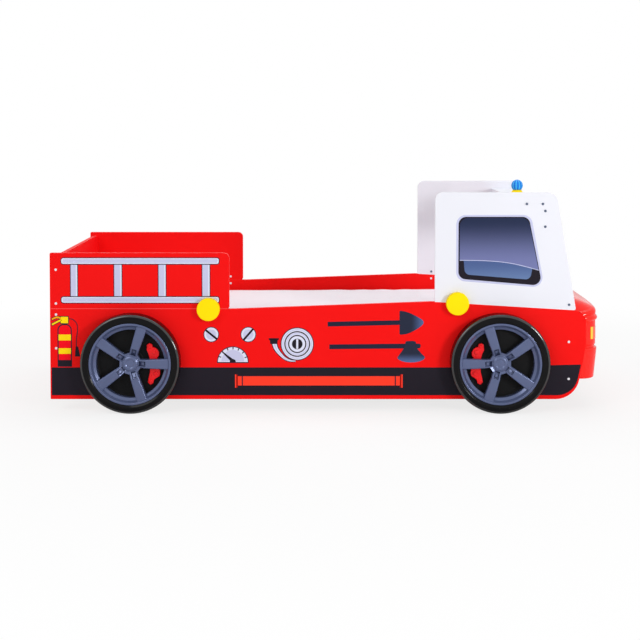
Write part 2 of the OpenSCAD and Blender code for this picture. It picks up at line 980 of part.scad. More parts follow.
module bolt_caps() {
    color(white)
        both_sides() {
            for (p = all_bolts)
                on_face(p.x, p.y)
                    snap_cap(bolt_head_d);
            for (p = all_disc_screws)
                on_face(p.x, p.y)
                    translate([0, 0, -board_t])
                        mirror([0, 0, 1])
                            snap_cap(disc_head_d);
        }
}

// Bed base

rail_screw_n = 6;
sink_d = screw_d * 2;
sink_h = 4;
rail_l = bed_l - 2 * end_gap;
rail_screw_xs = [for (i = [0:rail_screw_n - 1])
    bed_x0 + bed_l * (i + 0.5) / rail_screw_n];

// Runs each child along Y through the right rail, from its inner face outwards
module at_rail(x) {
    translate([x, -half_in + rail_w, rail_z + rail_h / 2])
        rotate([90, 0, 0])
            children();
}

// Wood screw with a countersunk head, its head flush with the plane Z = 0
module wood_screw(l) {
    cylinder(d = screw_d, h = l);
    cylinder(d = sink_d, h = sink_h);
}

module screw_hole(l) {
    translate([0, 0, -past])
        cylinder(d = screw_d + 2 * hole_gap, h = l + 2 * past);
    translate([0, 0, -past])
        cylinder(d = sink_d + 2 * hole_gap, h = sink_h + past + hole_gap);
}

module side_rail() {
    color(pine)
        difference() {
            translate([bed_x0 + end_gap, -half_in, rail_z])
                cube([rail_l, rail_w, rail_h]);
            for (x = rail_screw_xs)
                at_rail(x)
                    screw_hole(rail_w);
            slat_screw_holes();
        }
}

module side_rail_right() {
    right_side()
        side_rail();
}

module side_rail_left() {
    left_side()
        side_rail();
}

module rail_screws() {
    color(steel)
        both_sides()
            for (x = rail_screw_xs)
                at_rail(x)
                    wood_screw(rail_w);
}

slat_end = 12;
slat_pitch = (bed_l - 2 * slat_end - slat_w) / (slat_n - 1);
slat_xs = [for (i = [0:slat_n - 1]) bed_x0 + slat_end + slat_w / 2 + slat_pitch * i];
slat_bite = rail_h * 0.3;
slat_screw_l = slat_t + slat_bite;
slat_sink = 1;

module at_slat_screw(x) {
    translate([x, -half_in + rail_w / 2, sleep_h - slat_sink])
        mirror([0, 0, 1])
            children();
}

module slat_screw_holes() {
    for (x = slat_xs)
        at_slat_screw(x)
            screw_hole(slat_screw_l);
}

module slats() {
    color(pine)
        difference() {
            for (x = slat_xs)
                translate([x - slat_w / 2, -half_in + end_gap, slat_z])
                    cube([slat_w, inner_w - 2 * end_gap, slat_t]);
            both_sides()
                slat_screw_holes();
        }
}

module slat_screws() {
    color(steel)
        both_sides()
            for (x = slat_xs)
                at_slat_screw(x)
                    wood_screw(slat_screw_l);
}

module centre_beam() {
    color(pine)
        translate([bed_x0 + end_gap, -beam_w / 2, beam_z])
            cube([rail_l, beam_w, beam_h]);
}

leg_share = 0.16;
leg_set = leg_share * bed_l;
leg_xs = [for (i = [0:leg_n - 1]) bed_x0 + leg_set + (bed_l - 2 * leg_set) * i / (leg_n - 1)];

module centre_legs() {
    color(pine)
        for (x = leg_xs)
            translate([x, 0, glide_h])
                cylinder(d = leg_d, h = beam_z - glide_h);
}

module wheel_posts() {
    color(pine)
        both_sides()
            for (x = wheel_xs)
                translate([x - post_w / 2, -half_in, glide_h])
                    cube([post_w, post_w, rail_z - glide_h]);
}

glide_edge = 2;

module glide(d) {
    rotate_extrude()
        polygon([[0, 0], [d / 2 - glide_edge, 0], [d / 2, glide_edge], [d / 2, glide_h], [0, glide_h]]);
}

module floor_glides() {
    color(black) {
        for (x = leg_xs)
            translate([x, 0, 0])
                glide(leg_d);
        both_sides()
            for (x = wheel_xs)
                translate([x, -half_in + post_w / 2, 0])
                    glide(post_w);
    }
}

// Wheels, drawn round the Z axis with the side panel's face at Z = 0

tyre_r = wheel_d / 2;
rim_r = tyre_r - sidewall;
opening_r = rim_r - rim_band;
seat_gap = 0.2;
rim_top = wheel_proud - 2;
rim_lip = 8;
spoke_sink = 5;
spoke_top = rim_top - spoke_sink;
hub_proud = 1;
hub_top = spoke_top + hub_proud;
spoke_end = rim_r - rim_lip;
pocket_set = pocket_w * 0.66;
pocket_at = hub_d / 2 + pocket_set;
back_dish = 3;
back_floor = backing_t - back_dish;
screw_skin = 2;
wheel_screw_depth = back_floor - screw_skin;
web_drop = 6;
pocket_h = spoke_t / 2;
// Room between the caliper and the spokes in front of it
caliper_gap = 0.5;
caliper_t = spoke_top - spoke_t - back_floor - caliper_gap;

// Fine groove round the tyre beside the rim
tyre_groove_set = 3;
tyre_groove_w = 2;
tyre_groove_h = 1.5;

module tyre() {
    color(black)
        rotate_extrude()
            difference() {
                union() {
                    translate([rim_r, 0])
                        square([sidewall, wheel_proud - shoulder_r]);
                    translate([rim_r, 0])
                        square([sidewall - shoulder_r, wheel_proud]);
                    translate([tyre_r - shoulder_r, wheel_proud - shoulder_r])
                        circle(r = shoulder_r);
                }
                translate([rim_r + tyre_groove_set, wheel_proud - tyre_groove_h])
                    square([tyre_groove_w, tyre_groove_h + past]);
            }
}

// Section of the rim's ring: a flat lip at the tyre, a cone that falls inwards, and a rounded inner edge
cone_drop = 11;
cone_in = opening_r + rim_band * 0.36;
ring_edge = 2;
rim_ring = [
    [opening_r, backing_t],
    [rim_r - seat_gap, backing_t],
    [rim_r - seat_gap, rim_top - ring_edge],
    [rim_r - ring_edge, rim_top],
    [rim_r - rim_lip + ring_edge, rim_top],
    [rim_r - rim_lip, rim_top - ring_edge],
    [cone_in, rim_top - cone_drop],
    [opening_r + ring_edge, rim_top - cone_drop - ring_edge],
    [opening_r, rim_top - cone_drop - 2 * ring_edge]
];

// Cuts for the bevels along both edges of a spoke
module spoke_bevels() {
    start = hub_d / 2;
    lean = atan((spoke_w_out - spoke_w_in) / 2 / (spoke_end - start));
    for (s = [-1, 1])
        translate([start, s * spoke_w_in / 2, spoke_top])
            rotate([0, 0, s * lean])
                rotate([90, 0, 90])
                    translate([0, 0, -start / 3])
                        linear_extrude(spoke_end)
                            polygon([
                                [s * past, past],
                                [-s * (spoke_bevel + past), past],
                                [s * past, -spoke_bevel - past]
                            ]);
}

module spoke() {
    root = spoke_w_in / 2;
    tip = spoke_w_out / 2;
    start = hub_d / 2;
    difference() {
        translate([0, 0, spoke_top - spoke_t])
            linear_extrude(spoke_t)
                intersection() {
                    polygon([
                        [start / 2, -root], [start, -root], [rim_r, -tip],
                        [rim_r, tip], [start, root], [start / 2, root]
                    ]);
                    circle(r = spoke_end);
                }
        spoke_bevels();
    }
}

module round_the_hub() {
    for (i = [0:spoke_n - 1])
        rotate([0, 0, 360 * i / spoke_n])
            children();
}

// Square block of side w in a nut pocket, from height z0 to z1
module pocket_block(w, z0, z1) {
    translate([pocket_at - w / 2, -w / 2, z0])
        cube([w, w, z1 - z0]);
}

module rim() {
    color(slate) {
        rotate_extrude()
            polygon(rim_ring);
        difference() {
            union() {
                round_the_hub()
                    spoke();
                translate([0, 0, backing_t])
                    cylinder(
                        r = web_r / cos(180 / spoke_n),
                        h = spoke_top - web_drop - backing_t,
                        $fn = spoke_n
                    );
            }
            round_the_hub()
                pocket_block(pocket_w, spoke_top - pocket_h, spoke_top + past);
        }
        round_the_hub()
            pocket_block(pocket_w / 2, spoke_top - pocket_h - past, spoke_top - pocket_h / 2);
        translate([0, 0, backing_t])
            cylinder(d = hub_d, h = hub_top - backing_t);
    }
}

// Land under the rim and the hub, and the slope down from it to the dished floor
back_land = 3;
back_slope = 4;
hub_land = 10;

module wheel_back() {
    color(black)
        difference() {
            rotate_extrude()
                polygon([
                    [0, 0],
                    [rim_r - seat_gap, 0],
                    [rim_r - seat_gap, backing_t],
                    [opening_r - back_land, backing_t],
                    [opening_r - back_land - back_slope, back_floor],
                    [hub_d / 2 + hub_land + back_slope, back_floor],
                    [hub_d / 2 + hub_land, backing_t],
                    [0, backing_t]
                ]);
            for (p = wheel_bolt_spots)
                translate([p.x, p.y, -past])
                    cylinder(d = wheel_bolt_d + 2 * hole_gap, h = wheel_screw_depth + past + hole_gap);
        }
}

// Outline of the caliper's half below the spoke that it straddles, as shares of the opening:
// each point has X, Y and a corner radius
caliper_half = [
    [0.50, -0.62, 0.02],
    [0.58, -0.68, 0.04],
    [0.66, -0.56, 0.05],
    [0.76, -0.47, 0.03],
    [0.85, -0.32, 0.08],
    [0.89, -0.08, 0.08]
];
caliper_shape = concat(caliper_half, [for (i = [len(caliper_half) - 1:-1:0])
    let(p = caliper_half[i])
    [p.x, -p.y, p.z]]);
// The raised face is drawn in from the body by these shares, towards a point out from the axis
face_x = 0.94;
face_y = 0.84;
face_shift = 0.04 * opening_r;
shoulder_share = 0.7;

module caliper() {
    body = rounded([for (p = caliper_shape) p * opening_r]);
    face = rounded([for (p = caliper_shape)
        [
            face_shift + p.x * opening_r * face_x,
            p.y * opening_r * face_y,
            p.z * opening_r * shoulder_share
        ]]);
    color(red)
        translate([0, 0, back_floor]) {
            linear_extrude(caliper_t * shoulder_share)
                polygon(body);
            linear_extrude(caliper_t)
                polygon(face);
        }
}

hub_cap_h = 6;

module hub_cap() {
    r = hub_cap_d / 2;
    top = hub_top + hub_cap_h;
    color(slate)
        rotate_extrude()
            polygon(rounded([
                [0, hub_top, 0],
                [r, hub_top, 0],
                [r, hub_top + hub_cap_h / 2, 2],
                [r * 0.78, top, 4],
                [r * 0.6, top, 1],
                [r * 0.52, top - 2, 1],
                [r * 0.3, top - 1, 4],
                [0, top - 0.5, 0]
            ]));
}

// Places a wheel part on the right side panel; the front wheel is the rear one's mirror image
module on_rear_axle() {
    on_face(rear_wheel_x, wheel_z)
        children();
}

module on_front_axle() {
    on_face(front_wheel_x, wheel_z)
        mirror([1, 0, 0])
            children();
}

module wheel_bolts() {
    color(steel)
        both_sides()
            for (p = wheel_hole_spots)
                on_face(p.x, p.y) {
                    translate([0, 0, -board_t])
                        cylinder(d = wheel_bolt_head_d, h = wheel_bolt_head_h);
                    translate([0, 0, -board_t])
                        cylinder(d = wheel_bolt_d, h = board_t + wheel_screw_depth);
                }
}

module tyre_rear_right() { right_side() on_rear_axle() tyre(); }
module tyre_rear_left() { left_side() on_rear_axle() tyre(); }
module tyre_front_right() { right_side() on_front_axle() tyre(); }
module tyre_front_left() { left_side() on_front_axle() tyre(); }
module rim_rear_right() { right_side() on_rear_axle() rim(); }
module rim_rear_left() { left_side() on_rear_axle() rim(); }
module rim_front_right() { right_side() on_front_axle() rim(); }
module rim_front_left() { left_side() on_front_axle() rim(); }
module wheel_back_rear_right() { right_side() on_rear_axle() wheel_back(); }
module wheel_back_rear_left() { left_side() on_rear_axle() wheel_back(); }
module wheel_back_front_right() { right_side() on_front_axle() wheel_back(); }
module wheel_back_front_left() { left_side() on_front_axle() wheel_back(); }
module caliper_rear_right() { right_side() on_rear_axle() caliper(); }
module caliper_rear_left() { left_side() on_rear_axle() caliper(); }
module caliper_front_right() { right_side() on_front_axle() caliper(); }
module caliper_front_left() { left_side() on_front_axle() caliper(); }
module hub_cap_rear_right() { right_side() on_rear_axle() hub_cap(); }
module hub_cap_rear_left() { left_side() on_rear_axle() hub_cap(); }
module hub_cap_front_right() { right_side() on_front_axle() hub_cap(); }
module hub_cap_front_left() { left_side() on_front_axle() hub_cap(); }

// Mattress: a flat base, rounded edges, sides that draw in, and a crowned top

corner_points = 6;
side_points = 10;
end_points = 5;
mattress_x = (bed_x0 + bed_x1) / 2;
half_ml = mattress_l / 2;
half_mw = mattress_w / 2;

// Quarter of the plan outline, grown inwards by inset, from the front end's middle to the side's middle
function quarter(inset) =
    let(
        r = max(mattress_corner_r - inset, 1),
        a = half_ml - inset,
        b = half_mw - inset
    )
    concat(
        [for (i = [0:end_points - 1]) [a, (b - r) * i / end_points]],
        [for (i = [0:corner_points])
            let(turn = 90 * i / corner_points)
            [a - r + r * cos(turn), b - r + r * sin(turn)]],
        [for (i = [1:side_points]) [(a - r) * (1 - i / side_points), b]]
    );
function flip_x(pts) = [for (i = [len(pts) - 2:-1:0]) [-pts[i].x, pts[i].y]];
function flip_y(pts) = [for (i = [len(pts) - 2:-1:1]) [pts[i].x, -pts[i].y]];
function outline(inset) =
    let(half = concat(quarter(inset), flip_x(quarter(inset))))
    concat(half, flip_y(half));

// Share of the waist at a point of the outline: none at the corners, all in the middle of a side
function waist_share(p) = 1 - pow(min(abs(p.x) / half_ml, abs(p.y) / half_mw), 4);
function crown_share(p) = (1 - pow(p.x / half_ml, 4)) * (1 - pow(p.y / half_mw, 4));
function mattress_ring(inset, z, waist, crown) = [for (p = outline(inset))
    let(w = mattress_waist * waist * waist_share(p))
    [
        p.x - sign(p.x) * w * pow(abs(p.x) / half_ml, 8),
        p.y - sign(p.y) * w * pow(abs(p.y) / half_mw, 8),
        z + mattress_crown * crown * crown_share(p)
    ]];

module mattress() {
    e = mattress_edge_r;
    t = mattress_t;
    bend = [for (a = [0, 30, 60, 90]) [e * (1 - sin(a)), e * (1 - cos(a))]];
    rings = concat(
        [for (b = bend) mattress_ring(b.x, b.y, 0, 0)],
        [mattress_ring(0, t / 2, 1, 0)],
        [for (i = [3:-1:0]) mattress_ring(bend[i].x, t - bend[i].y, 0, i == 0 ? 1 : 0)],
        [for (s = [0.25, 0.5, 0.75]) mattress_ring(e + (half_mw - 2 * e) * s, t, 0, 1)]
    );
    n = len(rings[0]);
    m = len(rings);
    color(white)
        translate([mattress_x, 0, sleep_h + rest_gap])
            polyhedron(
                points = concat([for (r = rings) each r], [[0, 0, 0], [0, 0, t + mattress_crown]]),
                faces = concat(
                    [for (i = [0:n - 1]) [m * n, i, (i + 1) % n]],
                    [for (j = [0:m - 2], i = [0:n - 1])
                        let(k = (i + 1) % n)
                        each [
                            [j * n + i, (j + 1) * n + i, j * n + k],
                            [j * n + k, (j + 1) * n + i, (j + 1) * n + k]
                        ]],
                    [for (i = [0:n - 1]) [m * n + 1, (m - 1) * n + (i + 1) % n, (m - 1) * n + i]]
                )
            );
}

side_panel_right();
side_panel_left();
box_panel_right();
box_panel_left();
cab_panel_right();
cab_panel_left();
rear_board_lower();
rear_board_upper();
front_board();
header_board();
roof_board();
bonnet();
lamp_band();
bumper();
grille();
headlamp_right();
headlamp_left();
corner_lamp_right();
corner_lamp_left();
beacon_base();
beacon_ball();
joining_discs();
disc_screws();
board_bolts();
bolt_caps();
side_rail_right();
side_rail_left();
rail_screws();
slats();
slat_screws();
centre_beam();
centre_legs();
wheel_posts();
floor_glides();
wheel_bolts();
tyre_rear_right();
tyre_rear_left();
tyre_front_right();
tyre_front_left();
rim_rear_right();
rim_rear_left();
rim_front_right();
rim_front_left();
wheel_back_rear_right();
wheel_back_rear_left();
wheel_back_front_right();
wheel_back_front_left();
caliper_rear_right();
caliper_rear_left();
caliper_front_right();
caliper_front_left();
hub_cap_rear_right();
hub_cap_rear_left();
hub_cap_front_right();
hub_cap_front_left();
mattress();
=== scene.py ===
# %% [markdown]
# # A child's bed in the shape of a fire engine
# The construction model gives every board, moulding and wheel its true size.
# This script dresses it: it loads that model as a fixed frame, gives each node a
# finish, builds again in finer mesh what the photographs would show too coarse,
# and adds what only the surface has, such as the printed equipment on the sides.

# %% Load the frame
import json
import math

import bmesh
import bpy
import numpy as np
from mathutils import Matrix, Vector, noise


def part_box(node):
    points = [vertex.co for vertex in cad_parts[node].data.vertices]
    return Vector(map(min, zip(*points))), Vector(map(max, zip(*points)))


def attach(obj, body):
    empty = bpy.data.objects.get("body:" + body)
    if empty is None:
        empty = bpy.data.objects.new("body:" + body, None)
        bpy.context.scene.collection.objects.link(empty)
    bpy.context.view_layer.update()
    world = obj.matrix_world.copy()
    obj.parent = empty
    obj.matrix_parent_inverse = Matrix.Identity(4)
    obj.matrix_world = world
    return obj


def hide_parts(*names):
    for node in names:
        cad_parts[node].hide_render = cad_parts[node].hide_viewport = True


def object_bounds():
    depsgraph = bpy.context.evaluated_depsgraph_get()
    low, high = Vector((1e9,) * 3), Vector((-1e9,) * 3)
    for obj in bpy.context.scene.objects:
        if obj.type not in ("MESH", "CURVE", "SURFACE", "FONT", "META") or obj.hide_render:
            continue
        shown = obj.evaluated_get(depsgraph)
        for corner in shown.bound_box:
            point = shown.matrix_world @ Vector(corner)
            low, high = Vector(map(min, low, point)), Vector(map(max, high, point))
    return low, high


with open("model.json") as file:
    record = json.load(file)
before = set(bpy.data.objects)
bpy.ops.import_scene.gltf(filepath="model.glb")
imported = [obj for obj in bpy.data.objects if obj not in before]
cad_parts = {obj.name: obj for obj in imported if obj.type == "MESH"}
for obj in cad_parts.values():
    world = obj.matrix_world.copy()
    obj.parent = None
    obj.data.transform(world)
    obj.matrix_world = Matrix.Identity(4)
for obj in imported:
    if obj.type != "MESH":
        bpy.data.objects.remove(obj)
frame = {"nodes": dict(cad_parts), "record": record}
nodes = frame["nodes"]
scene = bpy.context.scene
cad_low, cad_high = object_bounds()
print("nodes", len(nodes), "box", [round(v, 3) for v in cad_high - cad_low])

# %% [markdown]
# ## Camera
# The photographer stood square to the side of the bed, a little above it, with the
# lens raised so that upright edges stay upright. A vertical shift does that here
# too: the camera tilts only 2 degrees and the shift brings the bed into the frame.

# %% Camera
CAMERA_PLACE = (-0.0214, -5.7246, 1.1702)
CAMERA_TILT = 2.185  # degrees below the horizon
CAMERA_LENS = 75.018  # mm, on a 36 mm sensor
CAMERA_SHIFT = -0.24  # shares of the sensor's width

camera_data = bpy.data.cameras.new("camera")
camera_data.sensor_width = 36
camera_data.lens = CAMERA_LENS
camera_data.shift_y = CAMERA_SHIFT
camera = bpy.data.objects.new("camera", camera_data)
camera.location = CAMERA_PLACE
camera.rotation_euler = (math.radians(90 - CAMERA_TILT), 0, 0)
scene.collection.objects.link(camera)
scene.camera = camera
scene.view_settings.view_transform = "Standard"
print("camera at", CAMERA_PLACE)

# %% [markdown]
# ## Light
# The studio light is soft and comes mostly from the right front, so the red side is
# deep at the tail and bright at the nose, and each wheel has a soft shadow up to its
# left. One large panel gives that, a wide weak one fills the left, and the world adds
# light from everywhere. The world looks white to the camera and in reflections only.

# %% Area lights and world
def aim(obj, target):
    obj.rotation_euler = (Vector(target) - obj.location).to_track_quat("-Z", "Y").to_euler()


def panel_light(name, place, target, size, power):
    data = bpy.data.lights.new(name, "AREA")
    data.shape = "RECTANGLE"
    data.size, data.size_y = size
    data.energy = power
    lamp = bpy.data.objects.new(name, data)
    lamp.location = place
    scene.collection.objects.link(lamp)
    aim(lamp, target)


panel_light("key", (4.0, -4.7, 1.5), (0.2, 0, 0.4), (1.2, 1.0), 129)
panel_light("fill", (-2.8, -3.8, 3.2), (-0.1, 0, 0.4), (2.6, 2.2), 52)
panel_light("top", (0.3, 0.6, 3.6), (0.1, 0, 0.3), (3.0, 2.0), 46)

AMBIENT = 0.55
world = bpy.data.worlds.new("studio")
scene.world = world
world.use_nodes = True
sky = world.node_tree
background = sky.nodes["Background"]
background.inputs["Color"].default_value = (1, 1, 1, 1)
path = sky.nodes.new("ShaderNodeLightPath")
seen = sky.nodes.new("ShaderNodeMath")
seen.operation = "MAXIMUM"
sky.links.new(path.outputs["Is Camera Ray"], seen.inputs[0])
sky.links.new(path.outputs["Is Glossy Ray"], seen.inputs[1])
through = sky.nodes.new("ShaderNodeMath")
through.operation = "MAXIMUM"
sky.links.new(seen.outputs[0], through.inputs[0])
sky.links.new(path.outputs["Is Transmission Ray"], through.inputs[1])
level = sky.nodes.new("ShaderNodeMapRange")
level.inputs["To Min"].default_value = AMBIENT
level.inputs["To Max"].default_value = 1
sky.links.new(through.outputs[0], level.inputs["Value"])
sky.links.new(level.outputs["Result"], background.inputs["Strength"])
print("world light", AMBIENT)

# %% [markdown]
# ## Shader tools
# Colours are written as on a paint chart, 0 to 255, and turned into the linear
# values that a shader takes. `place` adds a node and wires it in one line, which
# keeps each material short enough to read.

# %% Shader tools
def srgb(red, green, blue):
    def linear(value):
        value /= 255
        return value / 12.92 if value <= 0.04045 else ((value + 0.055) / 1.055) ** 2.4

    return (linear(red), linear(green), linear(blue), 1)


def wire(tree, value, socket):
    """Links a socket to an input, or writes a plain value into it."""
    if isinstance(value, bpy.types.NodeSocket):
        tree.links.new(value, socket)
    else:
        socket.default_value = value


def place(tree, kind, inputs=None, **settings):
    """Adds a node; inputs are values or sockets to link from."""
    node = tree.nodes.new("ShaderNode" + kind)
    for key, value in settings.items():
        setattr(node, key, value)
    for key, value in (inputs or {}).items():
        wire(tree, value, node.inputs[key])
    return node


def calc(tree, operation, *values):
    return place(tree, "Math", dict(enumerate(values)), operation=operation).outputs[0]


def blend(tree, share, first, second):
    """A mix of two colours, which are sockets 6 and 7 of the Mix node."""
    return place(tree, "Mix", {0: share, 6: first, 7: second}, data_type="RGBA").outputs[2]


def ramp(tree, value, start, stop, first=0, last=1):
    """Runs softly from first to last while the value goes from start to stop."""
    return place(tree, "MapRange", {
        "Value": value, "From Min": start, "From Max": stop, "To Min": first, "To Max": last,
    }, interpolation_type="SMOOTHSTEP").outputs[0]


def place_on_bed(tree):
    """X, Y and Z of the point that is shaded, in metres."""
    return place(tree, "SeparateXYZ", {0: place(tree, "TexCoord").outputs["Object"]}).outputs


print("white paint is", srgb(255, 255, 255))

# %% Node group tools
def new_group(name, inputs, outputs):
    """An empty group with named sockets; returns it with its inner ends."""
    group = bpy.data.node_groups.new(name, "ShaderNodeTree")
    for label, kind, value in inputs:
        socket = group.interface.new_socket(
            label, in_out="INPUT", socket_type="NodeSocket" + kind)
        socket.default_value = value
    for label, kind in outputs:
        group.interface.new_socket(label, in_out="OUTPUT", socket_type="NodeSocket" + kind)
    start = group.nodes.new("NodeGroupInput").outputs
    end = group.nodes.new("NodeGroupOutput").inputs
    return group, start, end


def use_group(tree, group, **inputs):
    """Places a group; an underscore in a name stands for a space."""
    node = tree.nodes.new("ShaderNodeGroup")
    node.node_tree = group
    for key, value in inputs.items():
        wire(tree, value, node.inputs[key.replace("_", " ")])
    return node.outputs


print("node groups so far", len(bpy.data.node_groups))

# %% [markdown]
# ## Shared surface effects
# No real surface is one flat colour. `coating` is what lacquer, foil and moulded
# plastic share: wide, faint patches of a deeper tone, gloss that changes from place
# to place, and a very fine skin like the peel of an orange. `grain` is sawn wood, and
# `knit` the fine loops of a mattress cover. All read object coordinates, which are
# metres here, so their scale is real and doesn't depend on how a mesh is unwrapped.

# %% Node group for coatings
coating, start, end = new_group(
    "coating",
    [
        ("Tone", "Color", (0.8, 0.8, 0.8, 1)), ("Deep Tone", "Color", (0.7, 0.7, 0.7, 1)),
        ("Patch", "Float", 0.3), ("Peel", "Float", 0.003),
        ("Roughness", "Float", 0.4), ("Spread", "Float", 0.06),
    ],
    [("Color", "Color"), ("Roughness", "Float"), ("Height", "Float")],
)
tree = coating
where = place(tree, "TexCoord").outputs["Object"]
patches = place(tree, "TexNoise", {
    "Vector": where, "Scale": calc(tree, "DIVIDE", 1, start["Patch"]), "Detail": 3,
}).outputs[0]
peel = place(tree, "TexNoise", {
    "Vector": where, "Scale": calc(tree, "DIVIDE", 1, start["Peel"]), "Detail": 2,
}).outputs[0]
tree.links.new(blend(tree, patches, start["Tone"], start["Deep Tone"]), end["Color"])
swing = calc(tree, "MULTIPLY", calc(tree, "SUBTRACT", patches, 0.5), start["Spread"])
tree.links.new(calc(tree, "ADD", start["Roughness"], swing), end["Roughness"])
tree.links.new(peel, end["Height"])
print("group", coating.name, "with", len(coating.nodes), "nodes")

# %% [markdown]
# Sawn pine shows its year rings as long, wavering bands, with short fibres between
# them. A wave texture would run too straight. A sine of slow noise wavers as wood
# does, and stretching space along the board draws the noise out into bands.

# %% Node group for sawn wood
WAVER, YEAR_RINGS, FIBRES = 1.6, 60, 22
RING_SHARE, FIBRE_SHARE = 0.28, 0.7
grain, start, end = new_group(
    "grain",
    [
        ("Stretch", "Vector", (1, 14, 14)), ("Light Wood", "Color", (0.8, 0.6, 0.4, 1)),
        ("Dark Wood", "Color", (0.6, 0.4, 0.2, 1)),
    ],
    [("Color", "Color"), ("Height", "Float")],
)
tree = grain
where = place(tree, "VectorMath", {
    0: place(tree, "TexCoord").outputs["Object"], 1: start["Stretch"],
}, operation="MULTIPLY").outputs[0]
bend = place(tree, "TexNoise", {"Vector": where, "Scale": WAVER, "Detail": 3}).outputs[0]
rings = calc(tree, "SINE", calc(tree, "MULTIPLY", bend, YEAR_RINGS))
fibres = place(tree, "TexNoise", {"Vector": where, "Scale": FIBRES, "Detail": 4}).outputs[0]
share = calc(tree, "MULTIPLY_ADD", rings, RING_SHARE,
             calc(tree, "MULTIPLY", fibres, FIBRE_SHARE))
tree.links.new(blend(tree, share, start["Light Wood"], start["Dark Wood"]), end["Color"])
tree.links.new(share, end["Height"])
print("group", grain.name, "with", len(grain.nodes), "nodes")

# %% [markdown]
# A knitted cover is rows of loops about two millimetres wide. Modelling them would
# take millions of faces, so two crossed sines stand for the loops, and wide, faint
# clouds keep the cover from looking printed.

# %% Node group for knitted cloth
CLOUDS, CLOUD_SHARE, LOOP_SHARE = 9, 0.6, 0.25
knit, start, end = new_group(
    "knit",
    [
        ("Loop", "Float", 0.0016), ("Thread", "Color", (0.8, 0.8, 0.8, 1)),
        ("Shade", "Color", (0.6, 0.6, 0.6, 1)),
    ],
    [("Color", "Color"), ("Height", "Float")],
)
tree = knit
x, y, z = place_on_bed(tree)
turns = calc(tree, "DIVIDE", math.tau, start["Loop"])
along = calc(tree, "SINE", calc(tree, "MULTIPLY", calc(tree, "ADD", x, z), turns))
across = calc(tree, "SINE", calc(tree, "MULTIPLY", calc(tree, "ADD", y, z), turns))
loops = calc(tree, "MULTIPLY_ADD", calc(tree, "MULTIPLY", along, across), 0.5, 0.5)
cloud = place(tree, "TexNoise", {
    "Vector": place(tree, "TexCoord").outputs["Object"], "Scale": CLOUDS, "Detail": 4,
}).outputs[0]
share = calc(tree, "MULTIPLY_ADD", loops, LOOP_SHARE,
             calc(tree, "MULTIPLY", cloud, CLOUD_SHARE))
tree.links.new(blend(tree, share, start["Thread"], start["Shade"]), end["Color"])
tree.links.new(loops, end["Height"])
print("group", knit.name, "with", len(knit.nodes), "nodes")

# %% [markdown]
# ## Finishes
# Each finish is one material round a Principled shader. What is the same all over,
# such as how strongly it mirrors, is set on the shader's own socket. What changes over
# the surface comes from a group. The red is so pure that a strong mirror layer would
# turn it pink, so the foil on the boards mirrors weakly, and only the moulded nose
# has the full gloss that the photograph shows.

# %% Finish tools
def blank(name):
    material = bpy.data.materials.new(name)
    material.use_nodes = True
    return material, material.node_tree


def finish_shell(material, color, height, bump, **shader):
    """Wires colour and bumps, that many metres deep, and sets the shader's own values."""
    tree = material.node_tree
    surface = tree.nodes["Principled BSDF"].inputs
    skin = place(tree, "Bump", {"Height": height, "Distance": bump})
    wire(tree, color, surface["Base Color"])
    wire(tree, skin.outputs[0], surface["Normal"])
    for key, value in shader.items():
        wire(tree, value, surface[key.replace("_", " ")])
    return material


def coated(name, tone, deep, roughness, patch=0.35, peel=0.0028, bump=0.00004, **shader):
    """A coating of two close tones; patch and peel are widths in metres."""
    material, tree = blank(name)
    out = use_group(
        tree, coating, Tone=srgb(*tone), Deep_Tone=srgb(*deep),
        Patch=patch, Peel=peel, Roughness=roughness, Spread=0.08,
    )
    return finish_shell(
        material, out["Color"], out["Height"], bump, Roughness=out["Roughness"], **shader)


print("materials of the frame", len(bpy.data.materials))

# %% Coated finishes
WEAK = {"Specular_IOR_Level": 0.1}
COATS = {
    "red_board": dict(
        tone=(243, 16, 22), deep=(238, 10, 16), roughness=0.5, Specular_IOR_Level=0.16,
        Specular_Tint=srgb(255, 196, 150)),
    # paler red of the red boards' eased edges: a painted highlight
    "red_edge_highlight": dict(
        tone=(255, 84, 76), deep=(252, 70, 64), roughness=0.3, Specular_IOR_Level=0.4),
    "white_board": dict(tone=(231, 232, 239), deep=(228, 229, 237), roughness=0.42, **WEAK),
    "red_moulding": dict(
        tone=(248, 34, 20), deep=(242, 22, 16), roughness=0.16, patch=0.2, peel=0.006,
        bump=0.00003, Specular_IOR_Level=0.3),
    "grille_black": dict(tone=(30, 28, 32), deep=(22, 21, 25), roughness=0.35, patch=0.05),
    "headlamp_lens": dict(
        tone=(226, 229, 236), deep=(208, 212, 222), roughness=0.12, patch=0.04,
        Coat_Weight=0.8, Coat_Roughness=0.03),
    "yellow_plastic": dict(
        tone=(255, 228, 0), deep=(253, 222, 0), roughness=0.38, patch=0.06, **WEAK),
    "steel": dict(
        tone=(196, 198, 204), deep=(176, 178, 186), roughness=0.34, patch=0.01, Metallic=1.0),
    "glide_plastic": dict(tone=(36, 36, 38), deep=(28, 28, 30), roughness=0.6, patch=0.02),
    "tyre_black": dict(
        tone=(9, 9, 11), deep=(6, 6, 8), roughness=0.14, patch=0.12, peel=0.0016,
        bump=0.00002, Specular_IOR_Level=0.14),
    "tyre_shoulder": dict(
        tone=(13, 13, 15), deep=(10, 10, 12), roughness=0.1, patch=0.05,
        Specular_IOR_Level=0.85),
    "rim_slate": dict(
        tone=(92, 103, 138), deep=(82, 92, 127), roughness=0.22, patch=0.08, peel=0.0016,
        bump=0.00002, Metallic=0.35, Specular_IOR_Level=0.5),
    "wheel_back_black": dict(
        tone=(9, 9, 11), deep=(6, 6, 7), roughness=0.6, patch=0.1, Specular_IOR_Level=0.15),
    "caliper_red": dict(
        tone=(244, 4, 18), deep=(232, 2, 12), roughness=0.3, patch=0.03,
        Specular_IOR_Level=0.3),
}
finish = {name: coated(name, **coat) for name, coat in COATS.items()}
print("coated finishes", len(finish))
